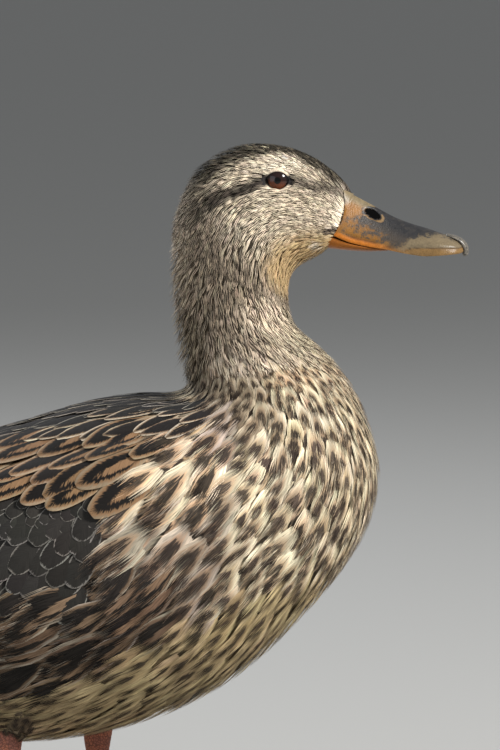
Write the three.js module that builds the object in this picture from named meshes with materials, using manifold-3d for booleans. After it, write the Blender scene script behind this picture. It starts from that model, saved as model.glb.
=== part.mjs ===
// A life-size standing female mallard, as a set of solids that meet at thin cuts.
//
// Millimetres. +X runs towards the bill, +Y to the bird's left and +Z up. The origin is on the floor, halfway between
// the tips of the bill and the tail. Head, neck and trunk are one lofted form, cut across at two places. Its
// cross-sections lie between a top line and a bottom line in the middle plane, and each is an egg on its side.
import * as THREE from "three";
import { mergeVertices } from "three/addons/utils/BufferGeometryUtils.js";
import Module from "manifold-3d";

const wasm = await Module();
wasm.setup();

const V = (x, y, z) => new THREE.Vector3(x, y, z);
const GAP = 0.35; // between neighbouring solids
const SIDES = { right: -1, left: 1 };

// ---------------------------------------------------------------------------------------------- driving dimensions

// Cross-sections of head, neck and trunk: top point and bottom point (x, z), half width, how much wider the lower
// half is than the upper one, and how square the outline is (2 is an ellipse).
const STATIONS = [
  { name: "bill root", top: [144.5, 273.0], bottom: [134.0, 250.5], half: 9.6, egg: 0.16, square: 2.3 },
  { name: "lores", top: [137.0, 281.3], bottom: [130.3, 248.0], half: 12.8, egg: 0.17, square: 2.2 },
  { name: "brow", top: [126.0, 288.9], bottom: [126.3, 245.8], half: 15.7, egg: 0.15, square: 2.15 },
  { name: "eyes", top: [112.0, 293.1], bottom: [122.3, 243.5], half: 17.6, egg: 0.12, square: 2.1 },
  { name: "crown", top: [96.0, 292.4], bottom: [119.3, 240.4], half: 19.0, egg: 0.09, square: 2.1 },
  { name: "hindcrown", top: [81.0, 283.2], bottom: [118.0, 237.0], half: 19.6, egg: 0.06, square: 2.1 },
  { name: "nape", top: [72.2, 265.0], bottom: [117.6, 233.3], half: 19.8, egg: 0.02, square: 2.05 },
  { name: "upper neck", top: [70.2, 244.0], bottom: [118.0, 226.8], half: 20.2, egg: 0.0, square: 2.0 },
  { name: "middle neck", top: [71.6, 223.5], bottom: [121.3, 218.6], half: 21.8, egg: 0.0, square: 2.0 },
  { name: "lower neck", top: [74.2, 206.0], bottom: [130.0, 211.0], half: 25.5, egg: 0.0, square: 2.0 },
  { name: "neck root", top: [75.6, 195.0], bottom: [141.5, 198.5], half: 34.5, egg: 0.0, square: 2.0 },
  { name: "shoulders", top: [68.5, 191.2], bottom: [150.8, 180.0], half: 46.0, egg: 0.0, square: 2.05 },
  { name: "upper breast", top: [54.0, 190.9], bottom: [155.0, 158.5], half: 56.0, egg: 0.02, square: 2.15 },
  { name: "mantle", top: [34.0, 187.6], bottom: [149.2, 134.0], half: 62.0, egg: 0.03, square: 2.2 },
  { name: "back", top: [9.0, 180.2], bottom: [128.5, 105.5], half: 65.5, egg: 0.03, square: 2.25 },
  { name: "flanks", top: [-22.0, 170.8], bottom: [93.0, 73.0], half: 66.5, egg: 0.02, square: 2.25 },
  { name: "belly", top: [-56.0, 160.8], bottom: [47.0, 53.5], half: 64.5, egg: 0.0, square: 2.2 },
  { name: "lower back", top: [-89.0, 151.2], bottom: [-7.0, 49.0], half: 57.0, egg: -0.03, square: 2.15 },
  { name: "rump", top: [-116.0, 143.2], bottom: [-60.0, 62.5], half: 45.0, egg: -0.05, square: 2.1 },
  { name: "vent", top: [-136.0, 136.8], bottom: [-103.0, 87.5], half: 32.0, egg: -0.05, square: 2.05 },
  { name: "tail root", top: [-150.0, 132.0], bottom: [-132.0, 107.0], half: 21.0, egg: -0.04, square: 2.0 },
  { name: "coverts end", top: [-163.0, 126.6], bottom: [-158.0, 118.5], half: 11.0, egg: 0.0, square: 2.0 },
];
const HEAD_END = 6.35; // where the head is cut from the neck, in stations
const NECK_END = 10.3; // where the neck is cut from the trunk

// Low swellings and hollows of the head's two sides: centre (x, z), radius, height.
const HEAD_FORMS = [
  { name: "cheek", at: [108, 257], radius: 15, height: 1.6 },
  { name: "brow ridge", at: [115, 286], radius: 7, height: 1.0 },
  { name: "hollow before the eye", at: [128, 272], radius: 8, height: -1.2 },
  { name: "eye socket", at: [113, 279.3], radius: 6.5, height: -1.0 },
];

const EYE = { at: [113.1, 279.3], side: 11.0, radius: 5.7 };

// The bill's two halves between their top and bottom lines (x, z).
const BILL_UPPER = [
  { top: [144.0, 272.6], bottom: [135.6, 256.1], half: 9.7, arch: 1.25 },
  { top: [150.8, 269.0], bottom: [142.2, 253.3], half: 9.5, arch: 1.3 },
  { top: [156.2, 266.0], bottom: [149.6, 251.6], half: 9.3, arch: 1.4 },
  { top: [161.6, 263.2], bottom: [157.0, 250.5], half: 9.3, arch: 1.55 },
  { top: [168.0, 260.8], bottom: [165.0, 248.9], half: 9.8, arch: 1.75 },
  { top: [174.4, 258.9], bottom: [172.4, 247.9], half: 10.5, arch: 1.95 },
  { top: [180.4, 256.8], bottom: [179.2, 248.2], half: 10.7, arch: 2.1 },
  { top: [185.4, 254.8], bottom: [184.8, 248.7], half: 9.2, arch: 2.2 },
  { top: [188.6, 253.0], bottom: [188.2, 248.9], half: 6.2, arch: 2.2 },
  { top: [190.3, 251.4], bottom: [190.0, 249.2], half: 2.6, arch: 2.1 },
];
const BILL_LOWER = [
  { top: [134.6, 255.7], bottom: [133.6, 250.9], half: 8.6, arch: 2.4 },
  { top: [142.0, 252.7], bottom: [141.2, 250.1], half: 8.7, arch: 2.4 },
  { top: [150.0, 251.0], bottom: [149.8, 249.6], half: 8.6, arch: 2.4 },
  { top: [158.0, 250.0], bottom: [158.0, 248.9], half: 8.5, arch: 2.4 },
];
const NAIL = { from: [184.6, 255.6], tip: [190.4, 247.0], half: 3.4, thick: 1.5 };
const NOSTRIL = { at: [152.6, 264.8], side: 7.2, length: 5.4, height: 2.7, depth: 2.2, slope: -0.42 };

// The folded wing is a shell over the trunk's side, between two stations and two angles round the section. Its upper
// and lower edges go from the first angle to the second along it, and the lower one bulges down between them.
const WING = { from: 12.1, to: 19.3, thick: 6.5, sunk: 2.5, upper: [0.95, 0.3], lower: [1.75, 1.1], bulge: 0.38 };
const WING_TIP = {
  root: [-52, 47, 151],
  middle: [-110, 30, 146.5],
  tip: [-167, 7.5, 135],
  half: 15,
  thick: [4.2, 1.5],
  lean: [0.75, 0.12], // how far it is turned down outwards, at its root and at its tip
};
// The tail's fan between its root and tip (x, z). Its outermost feathers are shorter by a share of its length.
const TAIL = { root: [-126, 122], tip: [-190.8, 124.5], half: [16, 28], thick: [6.5, 1.4], crown: 5, rounded: 0.2 };

// Legs. The right one stands back and the left one forward, as in a slow step.
const LEG = { side: 30, ankleZ: 48, ankleHalf: 5.9, shankHalf: 3.6, footZ: 6.4, flatness: 0.82 };
const SHIN = { above: [3, 0, 11], half: 4.8 }; // the bare end of the shin, above the ankle
// The hip lies before the ankle, beside the middle plane and above the floor by these.
const THIGH = { hip: [20, 33, 84], radii: [22, 16, 7.5], end: 10 };
const STANCE = { right: { ankleX: 3, footX: 6, yaw: 6 }, left: { ankleX: 39, footX: 39, yaw: -6 } };
const TOES = [
  { name: "inner", angle: -27, length: 41 },
  { name: "middle", angle: 0, length: 52 },
  { name: "outer", angle: 26, length: 50 },
];
const TOE = { rootRadius: 3.4, tipRadius: 2.1, knuckles: 0.12, back: 2, spread: 3.4 };
const WEB = { thick: 1.5, scallop: 0.15, edge: 0.06 }; // the edge is the outer toes' share of the foot's sweep
const CLAW = { length: 7, radius: 1.5, tipRadius: 0.35, lift: 0.7 };
const HALLUX = { height: 9, length: 12, radius: 2 };

// -------------------------------------------------------------------------------------------------- shape functions

const mix = (a, b, t) => a + (b - a) * t;
const clamp01 = (t) => Math.min(1, Math.max(0, t));
const ease = (t) => clamp01(t) ** 2 * (3 - 2 * clamp01(t));

// A Catmull-Rom spline through values at 0, 1, 2 and so on.
function spline(values, t) {
  const last = values.length - 1;
  const i = Math.min(last - 1, Math.max(0, Math.floor(t)));
  const at = (k) => (k < 0 ? 2 * values[0] - values[1] : k > last ? 2 * values[last] - values[last - 1] : values[k]);
  const [a, b, c, d] = [at(i - 1), at(i), at(i + 1), at(i + 2)];
  const f = t - i;
  return b + 0.5 * f * (c - a + f * (2 * a - 5 * b + 4 * c - d + f * (3 * (b - c) + d - a)));
}

// Every number of a list of stations at t, for the named fields.
function stationAt(stations, t) {
  const read = (pick) => spline(stations.map(pick), t);
  const made = {
    top: V(read((s) => s.top[0]), 0, read((s) => s.top[1])),
    bottom: V(read((s) => s.bottom[0]), 0, read((s) => s.bottom[1])),
    half: read((s) => s.half),
  };
  for (const field of ["egg", "square", "arch"])
    if (stations[0][field] !== undefined) made[field] = read((s) => s[field]);
  return made;
}

const power = (value, exponent) => Math.sign(value) * Math.abs(value) ** exponent;

function headForm(point) {
  let height = 0;
  for (const form of HEAD_FORMS) {
    const away = Math.hypot(point.x - form.at[0], point.z - form.at[1]) / form.radius;
    height += form.height * Math.exp(-away * away * 1.5);
  }
  return height;
}

// The body's outer surface: t in stations, angle round the section from the top, over the right side first.
function bodyPoint(t, angle, grow = 0) {
  const s = stationAt(STATIONS, t);
  const up = power(Math.cos(angle), 2 / s.square);
  const out = power(Math.sin(angle), 2 / s.square);
  const chord = s.top.clone().sub(s.bottom);
  const point = s.bottom.clone().addScaledVector(chord, 0.5 + 0.5 * up);
  point.addScaledVector(chord.normalize(), grow * up);
  point.y = -out * (s.half * (1 - s.egg * up) + grow);
  if (t < HEAD_END) point.y -= Math.sign(out) * headForm(point) * Math.abs(out) ** 2;
  return point;
}

function bodyRing(t, count, grow = 0) {
  return Array.from({ length: count }, (_, i) => bodyPoint(t, (2 * Math.PI * i) / count, grow));
}

// The body's outward direction at a place, from two small steps.
function bodyNormal(t, angle) {
  const along = bodyPoint(t + 0.02, angle).sub(bodyPoint(t - 0.02, angle));
  const around = bodyPoint(t, angle + 0.01).sub(bodyPoint(t, angle - 0.01));
  return along.cross(around).normalize();
}

// ---------------------------------------------------------------------------------------------- meshes and booleans

function geometryOf(points, triangles) {
  const geometry = new THREE.BufferGeometry();
  geometry.setAttribute("position", new THREE.Float32BufferAttribute(points.flatMap((p) => [p.x, p.y, p.z]), 3));
  geometry.setIndex(triangles);
  return geometry;
}

// Six times the volume inside a set of triangles, negative when they face inwards.
function sixVolumes(points, triangles) {
  let sum = 0;
  for (let i = 0; i < triangles.length; i += 3)
    sum += points[triangles[i]].dot(V(0, 0, 0).crossVectors(points[triangles[i + 1]], points[triangles[i + 2]]));
  return sum;
}

// A closed solid through rings of equally many points, its two ends closed by fans.
function loft(rings) {
  const n = rings[0].length;
  const points = rings.flat();
  const triangles = [];
  for (let r = 0; r < rings.length - 1; r++)
    for (let i = 0; i < n; i++) {
      const [a, b] = [r * n + i, r * n + ((i + 1) % n)];
      triangles.push(a, b, a + n, b, b + n, a + n);
    }
  for (const [ring, turn] of [[0, true], [rings.length - 1, false]]) {
    const centre = points.length;
    points.push(rings[ring].reduce((sum, p) => sum.add(p), V(0, 0, 0)).divideScalar(n));
    for (let i = 0; i < n; i++) {
      const [a, b] = [ring * n + i, ring * n + ((i + 1) % n)];
      triangles.push(...(turn ? [b, a, centre] : [a, b, centre]));
    }
  }
  if (sixVolumes(points, triangles) < 0)
    for (let i = 0; i < triangles.length; i += 3)
      [triangles[i + 1], triangles[i + 2]] = [triangles[i + 2], triangles[i + 1]];
  return geometryOf(points, triangles);
}

// A closed solid between two grids of points with the same rows and columns: its outer face and its inner face.
function slab(outer, inner) {
  const rings = outer.map((row, r) => [...row, ...inner[r].slice().reverse()]);
  return loft(rings);
}

function toSolid(geometry) {
  const bare = geometry.clone();
  bare.deleteAttribute("normal");
  bare.deleteAttribute("uv");
  const merged = mergeVertices(bare, 1e-4);
  return new wasm.Manifold(
    new wasm.Mesh({
      numProp: 3,
      vertProperties: new Float32Array(merged.attributes.position.array),
      triVerts: new Uint32Array(merged.index.array),
    }),
  );
}

function fromSolid(solid) {
  const mesh = solid.getMesh();
  const points = [];
  for (let i = 0; i < mesh.numVert; i++) {
    const [x, y, z] = mesh.vertProperties.subarray(i * mesh.numProp, i * mesh.numProp + 3);
    points.push(V(x, y, z));
  }
  return geometryOf(points, [...mesh.triVerts]);
}

// The largest single body of a solid, without slivers that a cut may leave.
function largest(solid) {
  return solid.decompose().sort((a, b) => b.volume() - a.volume())[0];
}

function cut(geometry, ...tools) {
  let solid = toSolid(geometry);
  for (const tool of tools) solid = solid.subtract(tool instanceof THREE.BufferGeometry ? toSolid(tool) : tool);
  return fromSolid(largest(solid));
}

function mirrored(points, side) {
  return points.map((p) => V(p.x, p.y * side, p.z));
}

// ------------------------------------------------------------------------------------------------ the bird's pieces

const steps = (from, to, count) => Array.from({ length: count + 1 }, (_, i) => mix(from, to, i / count));

// Part of the body between two stations. Its first ring is moved along the body, as from a gap after the part before.
function bodyPart(from, to, count, around, grow = 0, shift = GAP) {
  const rings = steps(from, to, count).map((t) => bodyRing(t, around, grow));
  const [top, side, bottom] = [0, 0.25, 0.5].map((share) => rings[0][around * share]);
  const normal = side.clone().sub(top).cross(bottom.clone().sub(top)).normalize();
  const away = rings[1][around / 2].clone().sub(bottom);
  normal.multiplyScalar(Math.sign(normal.dot(away)) * shift);
  rings[0].forEach((p) => p.add(normal));
  return loft(rings);
}

function ball(centre, radius) {
  return new THREE.SphereGeometry(radius, 12, 9).translate(centre.x, centre.y, centre.z);
}

const eyeCentre = (side) => V(EYE.at[0], side * EYE.side, EYE.at[1]);

function head() {
  const tools = Object.values(SIDES).map((side) => ball(eyeCentre(side), EYE.radius + GAP));
  return cut(bodyPart(0, HEAD_END, 13, 28, 0, 0), ...tools);
}

// A bill half: a flat floor under an arch, in each section between the top and bottom lines.
function billRing(s, count, floor) {
  const chord = s.top.clone().sub(s.bottom);
  return Array.from({ length: count }, (_, i) => {
    const angle = (2 * Math.PI * i) / count;
    const up = Math.cos(angle);
    const wide = power(Math.sin(angle), 2 / 2.4);
    const level = up > 0 ? mix(floor, 1, up ** (1 / s.arch) * 0.5 + up * 0.5) : floor * (1 + power(up, 0.8));
    const point = s.bottom.clone().addScaledVector(chord, level);
    const taper = up > 0 ? 1 - 0.5 * up ** s.arch : 1;
    point.y = -wide * s.half * taper;
    return point;
  });
}

function billHalf(stations, count, around, floor) {
  const last = stations.length - 1;
  return loft(steps(0, last, count).map((t) => billRing(stationAt(stations, t), around, floor)));
}

function nostril(side) {
  const hole = new THREE.SphereGeometry(1, 10, 8);
  hole.scale(NOSTRIL.length / 2, NOSTRIL.depth, NOSTRIL.height / 2).rotateY(-NOSTRIL.slope);
  return hole.translate(NOSTRIL.at[0], side * NOSTRIL.side, NOSTRIL.at[1]);
}

// The nail is a small hooked plate over the bill's tip.
function nail(grow = 0) {
  const rings = steps(0, 1, 7).map((t) => {
    const bend = ease(t);
    const x = mix(NAIL.from[0], NAIL.tip[0], Math.sin((t * Math.PI) / 2));
    const z = mix(NAIL.from[1], NAIL.tip[1], mix(t * 0.45, 1, bend * t));
    const half = NAIL.half * Math.sqrt(1 - 0.75 * t * t) + grow;
    const lean = mix(0.35, 1.45, bend);
    return Array.from({ length: 10 }, (_, i) => {
      const angle = (2 * Math.PI * i) / 10;
      const depth = (NAIL.thick / 2 + grow) * Math.sin(angle);
      const sag = 0.9 * Math.cos(angle) ** 2;
      return V(x + (depth - sag) * Math.sin(lean) - grow, half * Math.cos(angle), z + (depth - sag) * Math.cos(lean));
    });
  });
  return loft(rings);
}

// Angles round the section, from the top, of the folded wing's upper and lower edges at a share of its length.
function wingEdges(share) {
  const upper = mix(...WING.upper, ease(share * 1.5));
  const bulge = WING.bulge * Math.sin(Math.PI * clamp01(share * 1.1));
  return [upper, mix(...WING.lower, ease((share - 0.35) / 0.65)) + bulge];
}

function wing(side, ...tools) {
  const [rows, columns] = [12, 6];
  const outer = [];
  const inner = [];
  for (let r = 0; r <= rows; r++) {
    const share = r / rows;
    const t = mix(WING.from, WING.to, share);
    const [upper, lower] = wingEdges(share);
    const middle = (upper + lower) / 2;
    const spread = ((lower - upper) / 2) * Math.sqrt(1 - (1 - Math.min(1, share * 3 + 0.16)) ** 2);
    const lengthwise = Math.min(1, share * 4 + 0.2, (1 - share) * 2.2 + 0.35);
    outer.push([]);
    inner.push([]);
    for (let c = 0; c <= columns; c++) {
      const across = (2 * c) / columns - 1;
      const angle = middle + spread * across;
      const thick = WING.thick * (0.24 + 0.76 * Math.sqrt(1 - across ** 2 * 0.999)) * lengthwise;
      const normal = bodyNormal(t, angle);
      outer[r].push(bodyPoint(t, angle).addScaledVector(normal, GAP + thick));
      inner[r].push(bodyPoint(t, angle).addScaledVector(normal, -WING.sunk));
    }
  }
  const place = (grid) => grid.map((row) => mirrored(row, -side));
  return cut(slab(place(outer), place(inner)), ...tools);
}

// The stacked long feathers of the wing's tip, a thin blade that crosses above the tail's root.
function wingTip(side, grow = 0) {
  const rings = steps(0, 2, 10).map((t) => {
    const [x, y, z] = [0, 1, 2].map((k) => spline([WING_TIP.root[k], WING_TIP.middle[k], WING_TIP.tip[k]], t));
    const width = WING_TIP.half * Math.sqrt(1 - 0.93 * (t / 2) ** 3) + grow;
    const thick = mix(...WING_TIP.thick, t / 2) / 2 + grow;
    const lean = mix(...WING_TIP.lean, t / 2);
    return Array.from({ length: 10 }, (_, i) => {
      const angle = (2 * Math.PI * i) / 10;
      const [out, up] = [Math.cos(angle) * width, Math.sin(angle) * thick];
      const outwards = y + out * Math.cos(lean) + up * Math.sin(lean);
      return V(x, side * outwards, z - out * Math.sin(lean) + up * Math.cos(lean));
    });
  });
  return loft(rings);
}

function tail(...tools) {
  const [rows, columns] = [8, 12];
  const top = [];
  const under = [];
  for (let r = 0; r <= rows; r++) {
    const share = r / rows;
    top.push([]);
    under.push([]);
    for (let c = 0; c <= columns; c++) {
      const across = (2 * c) / columns - 1;
      const reach = share * (1 - TAIL.rounded * Math.abs(across) ** 2.4);
      const x = mix(TAIL.root[0], TAIL.tip[0], reach);
      const y = across * mix(...TAIL.half, ease(share * 0.9) ** 0.8);
      const z = mix(TAIL.root[1], TAIL.tip[1], share) + TAIL.crown * (1 - across ** 2) * mix(1, 0.55, share);
      const thick = mix(...TAIL.thick, share ** 0.7) * mix(1, 0.75, across ** 2);
      top[r].push(V(x, y, z + thick / 2));
      under[r].push(V(x, y, z - thick / 2));
    }
  }
  return cut(slab(top, under), ...tools);
}

// A tube of round sections along a smooth line of points, each with its own radius.
function limb(points, radii, around, count, flatten = 1) {
  const last = points.length - 1;
  const at = (t) => V(...[0, 1, 2].map((k) => spline(points.map((p) => p.getComponent(k)), t)));
  return loft(
    steps(0, last, count).map((t) => {
      const heading = at(Math.min(last, t + 0.02)).sub(at(Math.max(0, t - 0.02))).normalize();
      const sideways = V(0, 1, 0).addScaledVector(heading, -heading.y).normalize();
      const other = heading.clone().cross(sideways);
      const radius = spline(radii, t);
      return Array.from({ length: around }, (_, i) => {
        const angle = (2 * Math.PI * i) / around;
        return at(t)
          .addScaledVector(sideways, Math.cos(angle) * radius * flatten)
          .addScaledVector(other, Math.sin(angle) * radius);
      });
    }),
  );
}

function legPoints(name) {
  const side = SIDES[name];
  const { ankleX, footX } = STANCE[name];
  const [hipX, hipSide, hipZ] = THIGH.hip;
  return {
    hip: V(ankleX + hipX, side * hipSide, hipZ),
    ankle: V(ankleX, side * LEG.side, LEG.ankleZ),
    foot: V(footX, side * (LEG.side + 1), LEG.footZ),
  };
}

function thigh(name, grow = 0) {
  const { hip, ankle } = legPoints(name);
  const end = ankle.clone().add(V(3, 0, THIGH.end - grow));
  const middle = hip.clone().lerp(end, 0.5).add(V(-4, 0, -1));
  return limb([hip, middle, end], THIGH.radii.map((radius) => radius + grow), 14, 6);
}

function shank(name, grow = 0) {
  const { ankle, foot } = legPoints(name);
  const shin = ankle.clone().add(V(...SHIN.above));
  const at = (share) => ankle.clone().lerp(foot, share).add(V(0, 0, -grow * share));
  const radii = [SHIN.half, LEG.ankleHalf, LEG.shankHalf * 1.08, LEG.shankHalf, LEG.shankHalf * 1.3];
  return limb([shin, at(0), at(0.35), at(0.7), at(1)], radii.map((radius) => radius + grow), 12, 10, LEG.flatness);
}

// A foot's outline runs from toe to toe with a hollow between two tips. Its underside is flat, and its toes are ridges
// on the web.
function foot(name) {
  const side = SIDES[name];
  const [rows, columns] = [7, 14];
  const top = [];
  const under = [];
  for (let r = 0; r <= rows; r++) {
    top.push([]);
    under.push([]);
    for (let c = 0; c <= columns; c++) {
      const { point, height } = footPlace(r / rows, c / columns);
      top[r].push(V(point.x, point.y, height));
      under[r].push(V(point.x, point.y, 0));
    }
  }
  const place = (grid) => grid.map((row) => row.map((p) => footToWorld(name, p, side)));
  return slab(place(top), place(under));
}

// Where a toe at this angle leaves the joint, on the foot's own plane.
function toeRoot(angle) {
  return V(-TOE.back, angle * 2 * TOE.spread, 0);
}

function footPlace(reach, sweep) {
  const inset = WEB.edge;
  const web = clamp01((sweep - inset) / (1 - 2 * inset)) * (TOES.length - 1);
  const k = Math.min(TOES.length - 2, Math.floor(web));
  const f = web - k;
  const [a, b] = [TOES[k], TOES[k + 1]];
  const angle = THREE.MathUtils.degToRad(mix(a.angle, b.angle, f));
  const length = mix(a.length, b.length, f) * (1 - WEB.scallop * Math.sin(Math.PI * f) ** 1.2);
  const outside = (sweep < inset ? sweep - inset : Math.max(0, sweep - 1 + inset)) / inset;
  const radius = mix(TOE.rootRadius, TOE.tipRadius, reach) * (1 + TOE.knuckles * Math.cos(reach * 18));
  const heading = V(Math.cos(angle), Math.sin(angle), 0);
  const point = toeRoot(angle).addScaledVector(heading, reach * length);
  point.addScaledVector(V(-heading.y, heading.x, 0), outside * radius);
  const between = THREE.MathUtils.degToRad(b.angle - a.angle) * (reach * length + 2 * TOE.spread);
  const fromToe = Math.min(f, 1 - f) * between;
  const ridge = Math.abs(outside) > 0 ? 1 - outside ** 2 : 1 - (fromToe / (radius * 1.15)) ** 2;
  const height = WEB.thick + Math.sqrt(Math.max(0, ridge)) * (radius * 1.65 - WEB.thick);
  return { point, height };
}

function footToWorld(name, p, side) {
  const { foot: joint } = legPoints(name);
  const yaw = THREE.MathUtils.degToRad(STANCE[name].yaw);
  const turned = V(p.x, p.y * side, p.z).applyAxisAngle(V(0, 0, 1), yaw);
  return turned.add(V(joint.x, joint.y, 0));
}

function claw(name, toe) {
  const side = SIDES[name];
  const angle = THREE.MathUtils.degToRad(toe.angle);
  const heading = V(Math.cos(angle), Math.sin(angle), 0);
  const root = toeRoot(angle).addScaledVector(heading, toe.length + GAP);
  const rings = steps(0, 1, 4).map((t) => {
    const radius = mix(CLAW.radius, CLAW.tipRadius, t ** 1.4);
    const height = mix(CLAW.radius + CLAW.lift, CLAW.tipRadius, t ** 1.8);
    const centre = root.clone().addScaledVector(heading, t * CLAW.length);
    return Array.from({ length: 6 }, (_, i) => {
      const turn = (2 * Math.PI * i) / 6;
      const across = V(-heading.y, heading.x, 0).multiplyScalar(Math.cos(turn) * radius);
      return centre.clone().add(across).add(V(0, 0, height + Math.sin(turn) * radius));
    });
  });
  return loft(rings.map((ring) => ring.map((p) => footToWorld(name, p, side))));
}

// The hind toe runs down and back from behind the shank, and the flat under its tip rests on the floor.
function hallux(name) {
  const { foot: joint } = legPoints(name);
  const side = SIDES[name];
  const root = V(joint.x - LEG.shankHalf, joint.y - side * 1.5, HALLUX.height);
  const end = V(root.x - HALLUX.length, root.y - side * 2.5, HALLUX.radius * 0.2);
  const middle = root.clone().lerp(end, 0.5).add(V(-1, 0, 1));
  const toe = limb([root, middle, end], [HALLUX.radius, HALLUX.radius * 0.95, HALLUX.radius * 0.4], 8, 6);
  const position = toe.attributes.position;
  for (let i = 0; i < position.count; i++) position.setZ(i, Math.max(0, position.getZ(i)));
  return toe;
}

// --------------------------------------------------------------------------------------------------- colours, nodes

const material = (colour, roughness) => new THREE.MeshStandardMaterial({ color: colour, roughness, metalness: 0 });
const MATERIALS = {
  headPlumage: material(0x9c8a6e, 0.8),
  bodyPlumage: material(0x8d7658, 0.8),
  wingPlumage: material(0x57493c, 0.7),
  tailPlumage: material(0xa08c70, 0.75),
  bill: material(0x8a6f45, 0.4),
  billNail: material(0x34332f, 0.4),
  eye: material(0x4a2616, 0.1),
  legSkin: material(0xc4683a, 0.55),
  claw: material(0x2c2620, 0.5),
};

const bird = new THREE.Group();

function add(name, geometry, kind) {
  const mesh = new THREE.Mesh(geometry, MATERIALS[kind]);
  mesh.name = name;
  bird.add(mesh);
}

const trunk = (grow, shift) => bodyPart(NECK_END, STATIONS.length - 1, 24, 32, grow, shift);
const trunkTool = toSolid(trunk(GAP, 0));
add("head", head(), "headPlumage");
add("neck", bodyPart(HEAD_END, NECK_END, 9, 28), "headPlumage");
add("trunk", trunk(0, GAP), "bodyPlumage");

const faceTool = toSolid(bodyPart(0, 1, 2, 28, GAP, -GAP));
const nostrils = Object.values(SIDES).map(nostril);
const upperBill = billHalf(BILL_UPPER, 16, 18, 0.04);
const mouth = upperBill.clone().translate(0, 0, -GAP);
add("bill_upper", cut(upperBill, faceTool, nail(GAP), ...nostrils), "bill");
add("bill_lower", cut(billHalf(BILL_LOWER, 5, 14, 0.8), faceTool, mouth), "bill");
add("bill_nail", nail(), "billNail");

const tipTools = Object.values(SIDES).map((side) => wingTip(side, GAP));
add("tail", tail(trunkTool, ...tipTools), "tailPlumage");

for (const [name, side] of Object.entries(SIDES)) {
  add(`eye_${name}`, ball(eyeCentre(side), EYE.radius), "eye");
  add(`wing_${name}`, wing(side, trunkTool, ...tipTools), "wingPlumage");
  add(`wing_tip_${name}`, cut(wingTip(side), trunkTool), "wingPlumage");
  add(`thigh_${name}`, cut(thigh(name), trunkTool), "bodyPlumage");
  add(`shank_${name}`, cut(shank(name), trunkTool, thigh(name, GAP)), "legSkin");
  const shankTool = shank(name, GAP);
  add(`foot_${name}`, cut(foot(name), shankTool), "legSkin");
  add(`hallux_${name}`, cut(hallux(name), shankTool), "legSkin");
  for (const toe of TOES) add(`claw_${toe.name}_${name}`, claw(name, toe), "claw");
}

export default bird;
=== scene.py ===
"""A life-size standing female mallard: one skin under feathers of solid mesh that follow the body's lie.

Measures are in millimetres in the row frame, and become metres where a mesh is made. A place on the body is
a pair (t, angle): t counts the body's stations from the bill to the tail, and angle runs round the section
from the back, positive down the right side and negative down the left one.
"""
import math
from collections import namedtuple
from types import SimpleNamespace

import bpy
import numpy as np
from mathutils.kdtree import KDTree
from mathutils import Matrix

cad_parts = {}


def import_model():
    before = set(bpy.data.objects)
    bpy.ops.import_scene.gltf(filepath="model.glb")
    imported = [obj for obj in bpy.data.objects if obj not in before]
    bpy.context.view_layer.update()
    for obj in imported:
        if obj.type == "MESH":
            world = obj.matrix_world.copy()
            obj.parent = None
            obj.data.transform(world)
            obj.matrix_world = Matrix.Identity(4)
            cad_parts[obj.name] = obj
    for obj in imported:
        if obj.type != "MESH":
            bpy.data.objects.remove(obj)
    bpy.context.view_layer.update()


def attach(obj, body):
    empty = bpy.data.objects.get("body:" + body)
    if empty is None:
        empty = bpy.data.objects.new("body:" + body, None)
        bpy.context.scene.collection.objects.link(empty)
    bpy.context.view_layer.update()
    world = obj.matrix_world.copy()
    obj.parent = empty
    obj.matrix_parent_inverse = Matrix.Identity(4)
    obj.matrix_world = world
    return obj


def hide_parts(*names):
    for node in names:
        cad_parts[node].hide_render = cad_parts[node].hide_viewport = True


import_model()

MM = 0.001
RNG = np.random.default_rng(11)
SIDES = {"right": 1, "left": -1}  # the sign of angle; y has the opposite sign
ROUND = (-np.pi, np.pi)

# --- the body's shape ---

# Top x and z, bottom x and z, half width, how much wider the lower half is, and how square the section is.
BODY = np.array([
    (144.5, 273.0, 134.0, 250.5, 9.6, 0.16, 2.3),  # bill root
    (137.0, 281.3, 130.3, 248.0, 12.8, 0.17, 2.2),  # lores
    (126.0, 288.9, 126.3, 245.8, 15.7, 0.15, 2.15),  # brow
    (112.0, 293.1, 122.3, 243.5, 17.6, 0.12, 2.1),  # eyes
    (96.0, 292.4, 119.3, 240.4, 19.0, 0.09, 2.1),  # crown
    (81.0, 283.2, 118.0, 237.0, 19.6, 0.06, 2.1),  # hindcrown
    (72.2, 265.0, 117.6, 233.3, 19.8, 0.02, 2.05),  # nape
    (70.2, 244.0, 118.0, 226.8, 20.2, 0.0, 2.0),  # upper neck
    (71.6, 223.5, 121.3, 218.6, 21.8, 0.0, 2.0),  # middle neck
    (74.2, 206.0, 130.0, 211.0, 25.5, 0.0, 2.0),  # lower neck
    (75.6, 195.0, 141.5, 198.5, 34.5, 0.0, 2.0),  # neck root
    (68.5, 191.2, 150.8, 180.0, 46.0, 0.0, 2.05),  # shoulders
    (54.0, 190.9, 155.0, 158.5, 56.0, 0.02, 2.15),  # upper breast
    (34.0, 187.6, 149.2, 134.0, 62.0, 0.03, 2.2),  # mantle
    (9.0, 180.2, 128.5, 105.5, 65.5, 0.03, 2.25),  # back
    (-22.0, 170.8, 93.0, 73.0, 66.5, 0.02, 2.25),  # flanks
    (-56.0, 160.8, 47.0, 53.5, 64.5, 0.0, 2.2),  # belly
    (-89.0, 151.2, -7.0, 49.0, 57.0, -0.03, 2.15),  # lower back
    (-116.0, 143.2, -60.0, 62.5, 45.0, -0.05, 2.1),  # rump
    (-136.0, 136.8, -103.0, 87.5, 32.0, -0.05, 2.05),  # vent
    (-150.0, 132.0, -132.0, 107.0, 21.0, -0.04, 2.0),  # tail root
    (-163.0, 126.6, -158.0, 118.5, 11.0, 0.0, 2.0),  # coverts end
])
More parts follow.
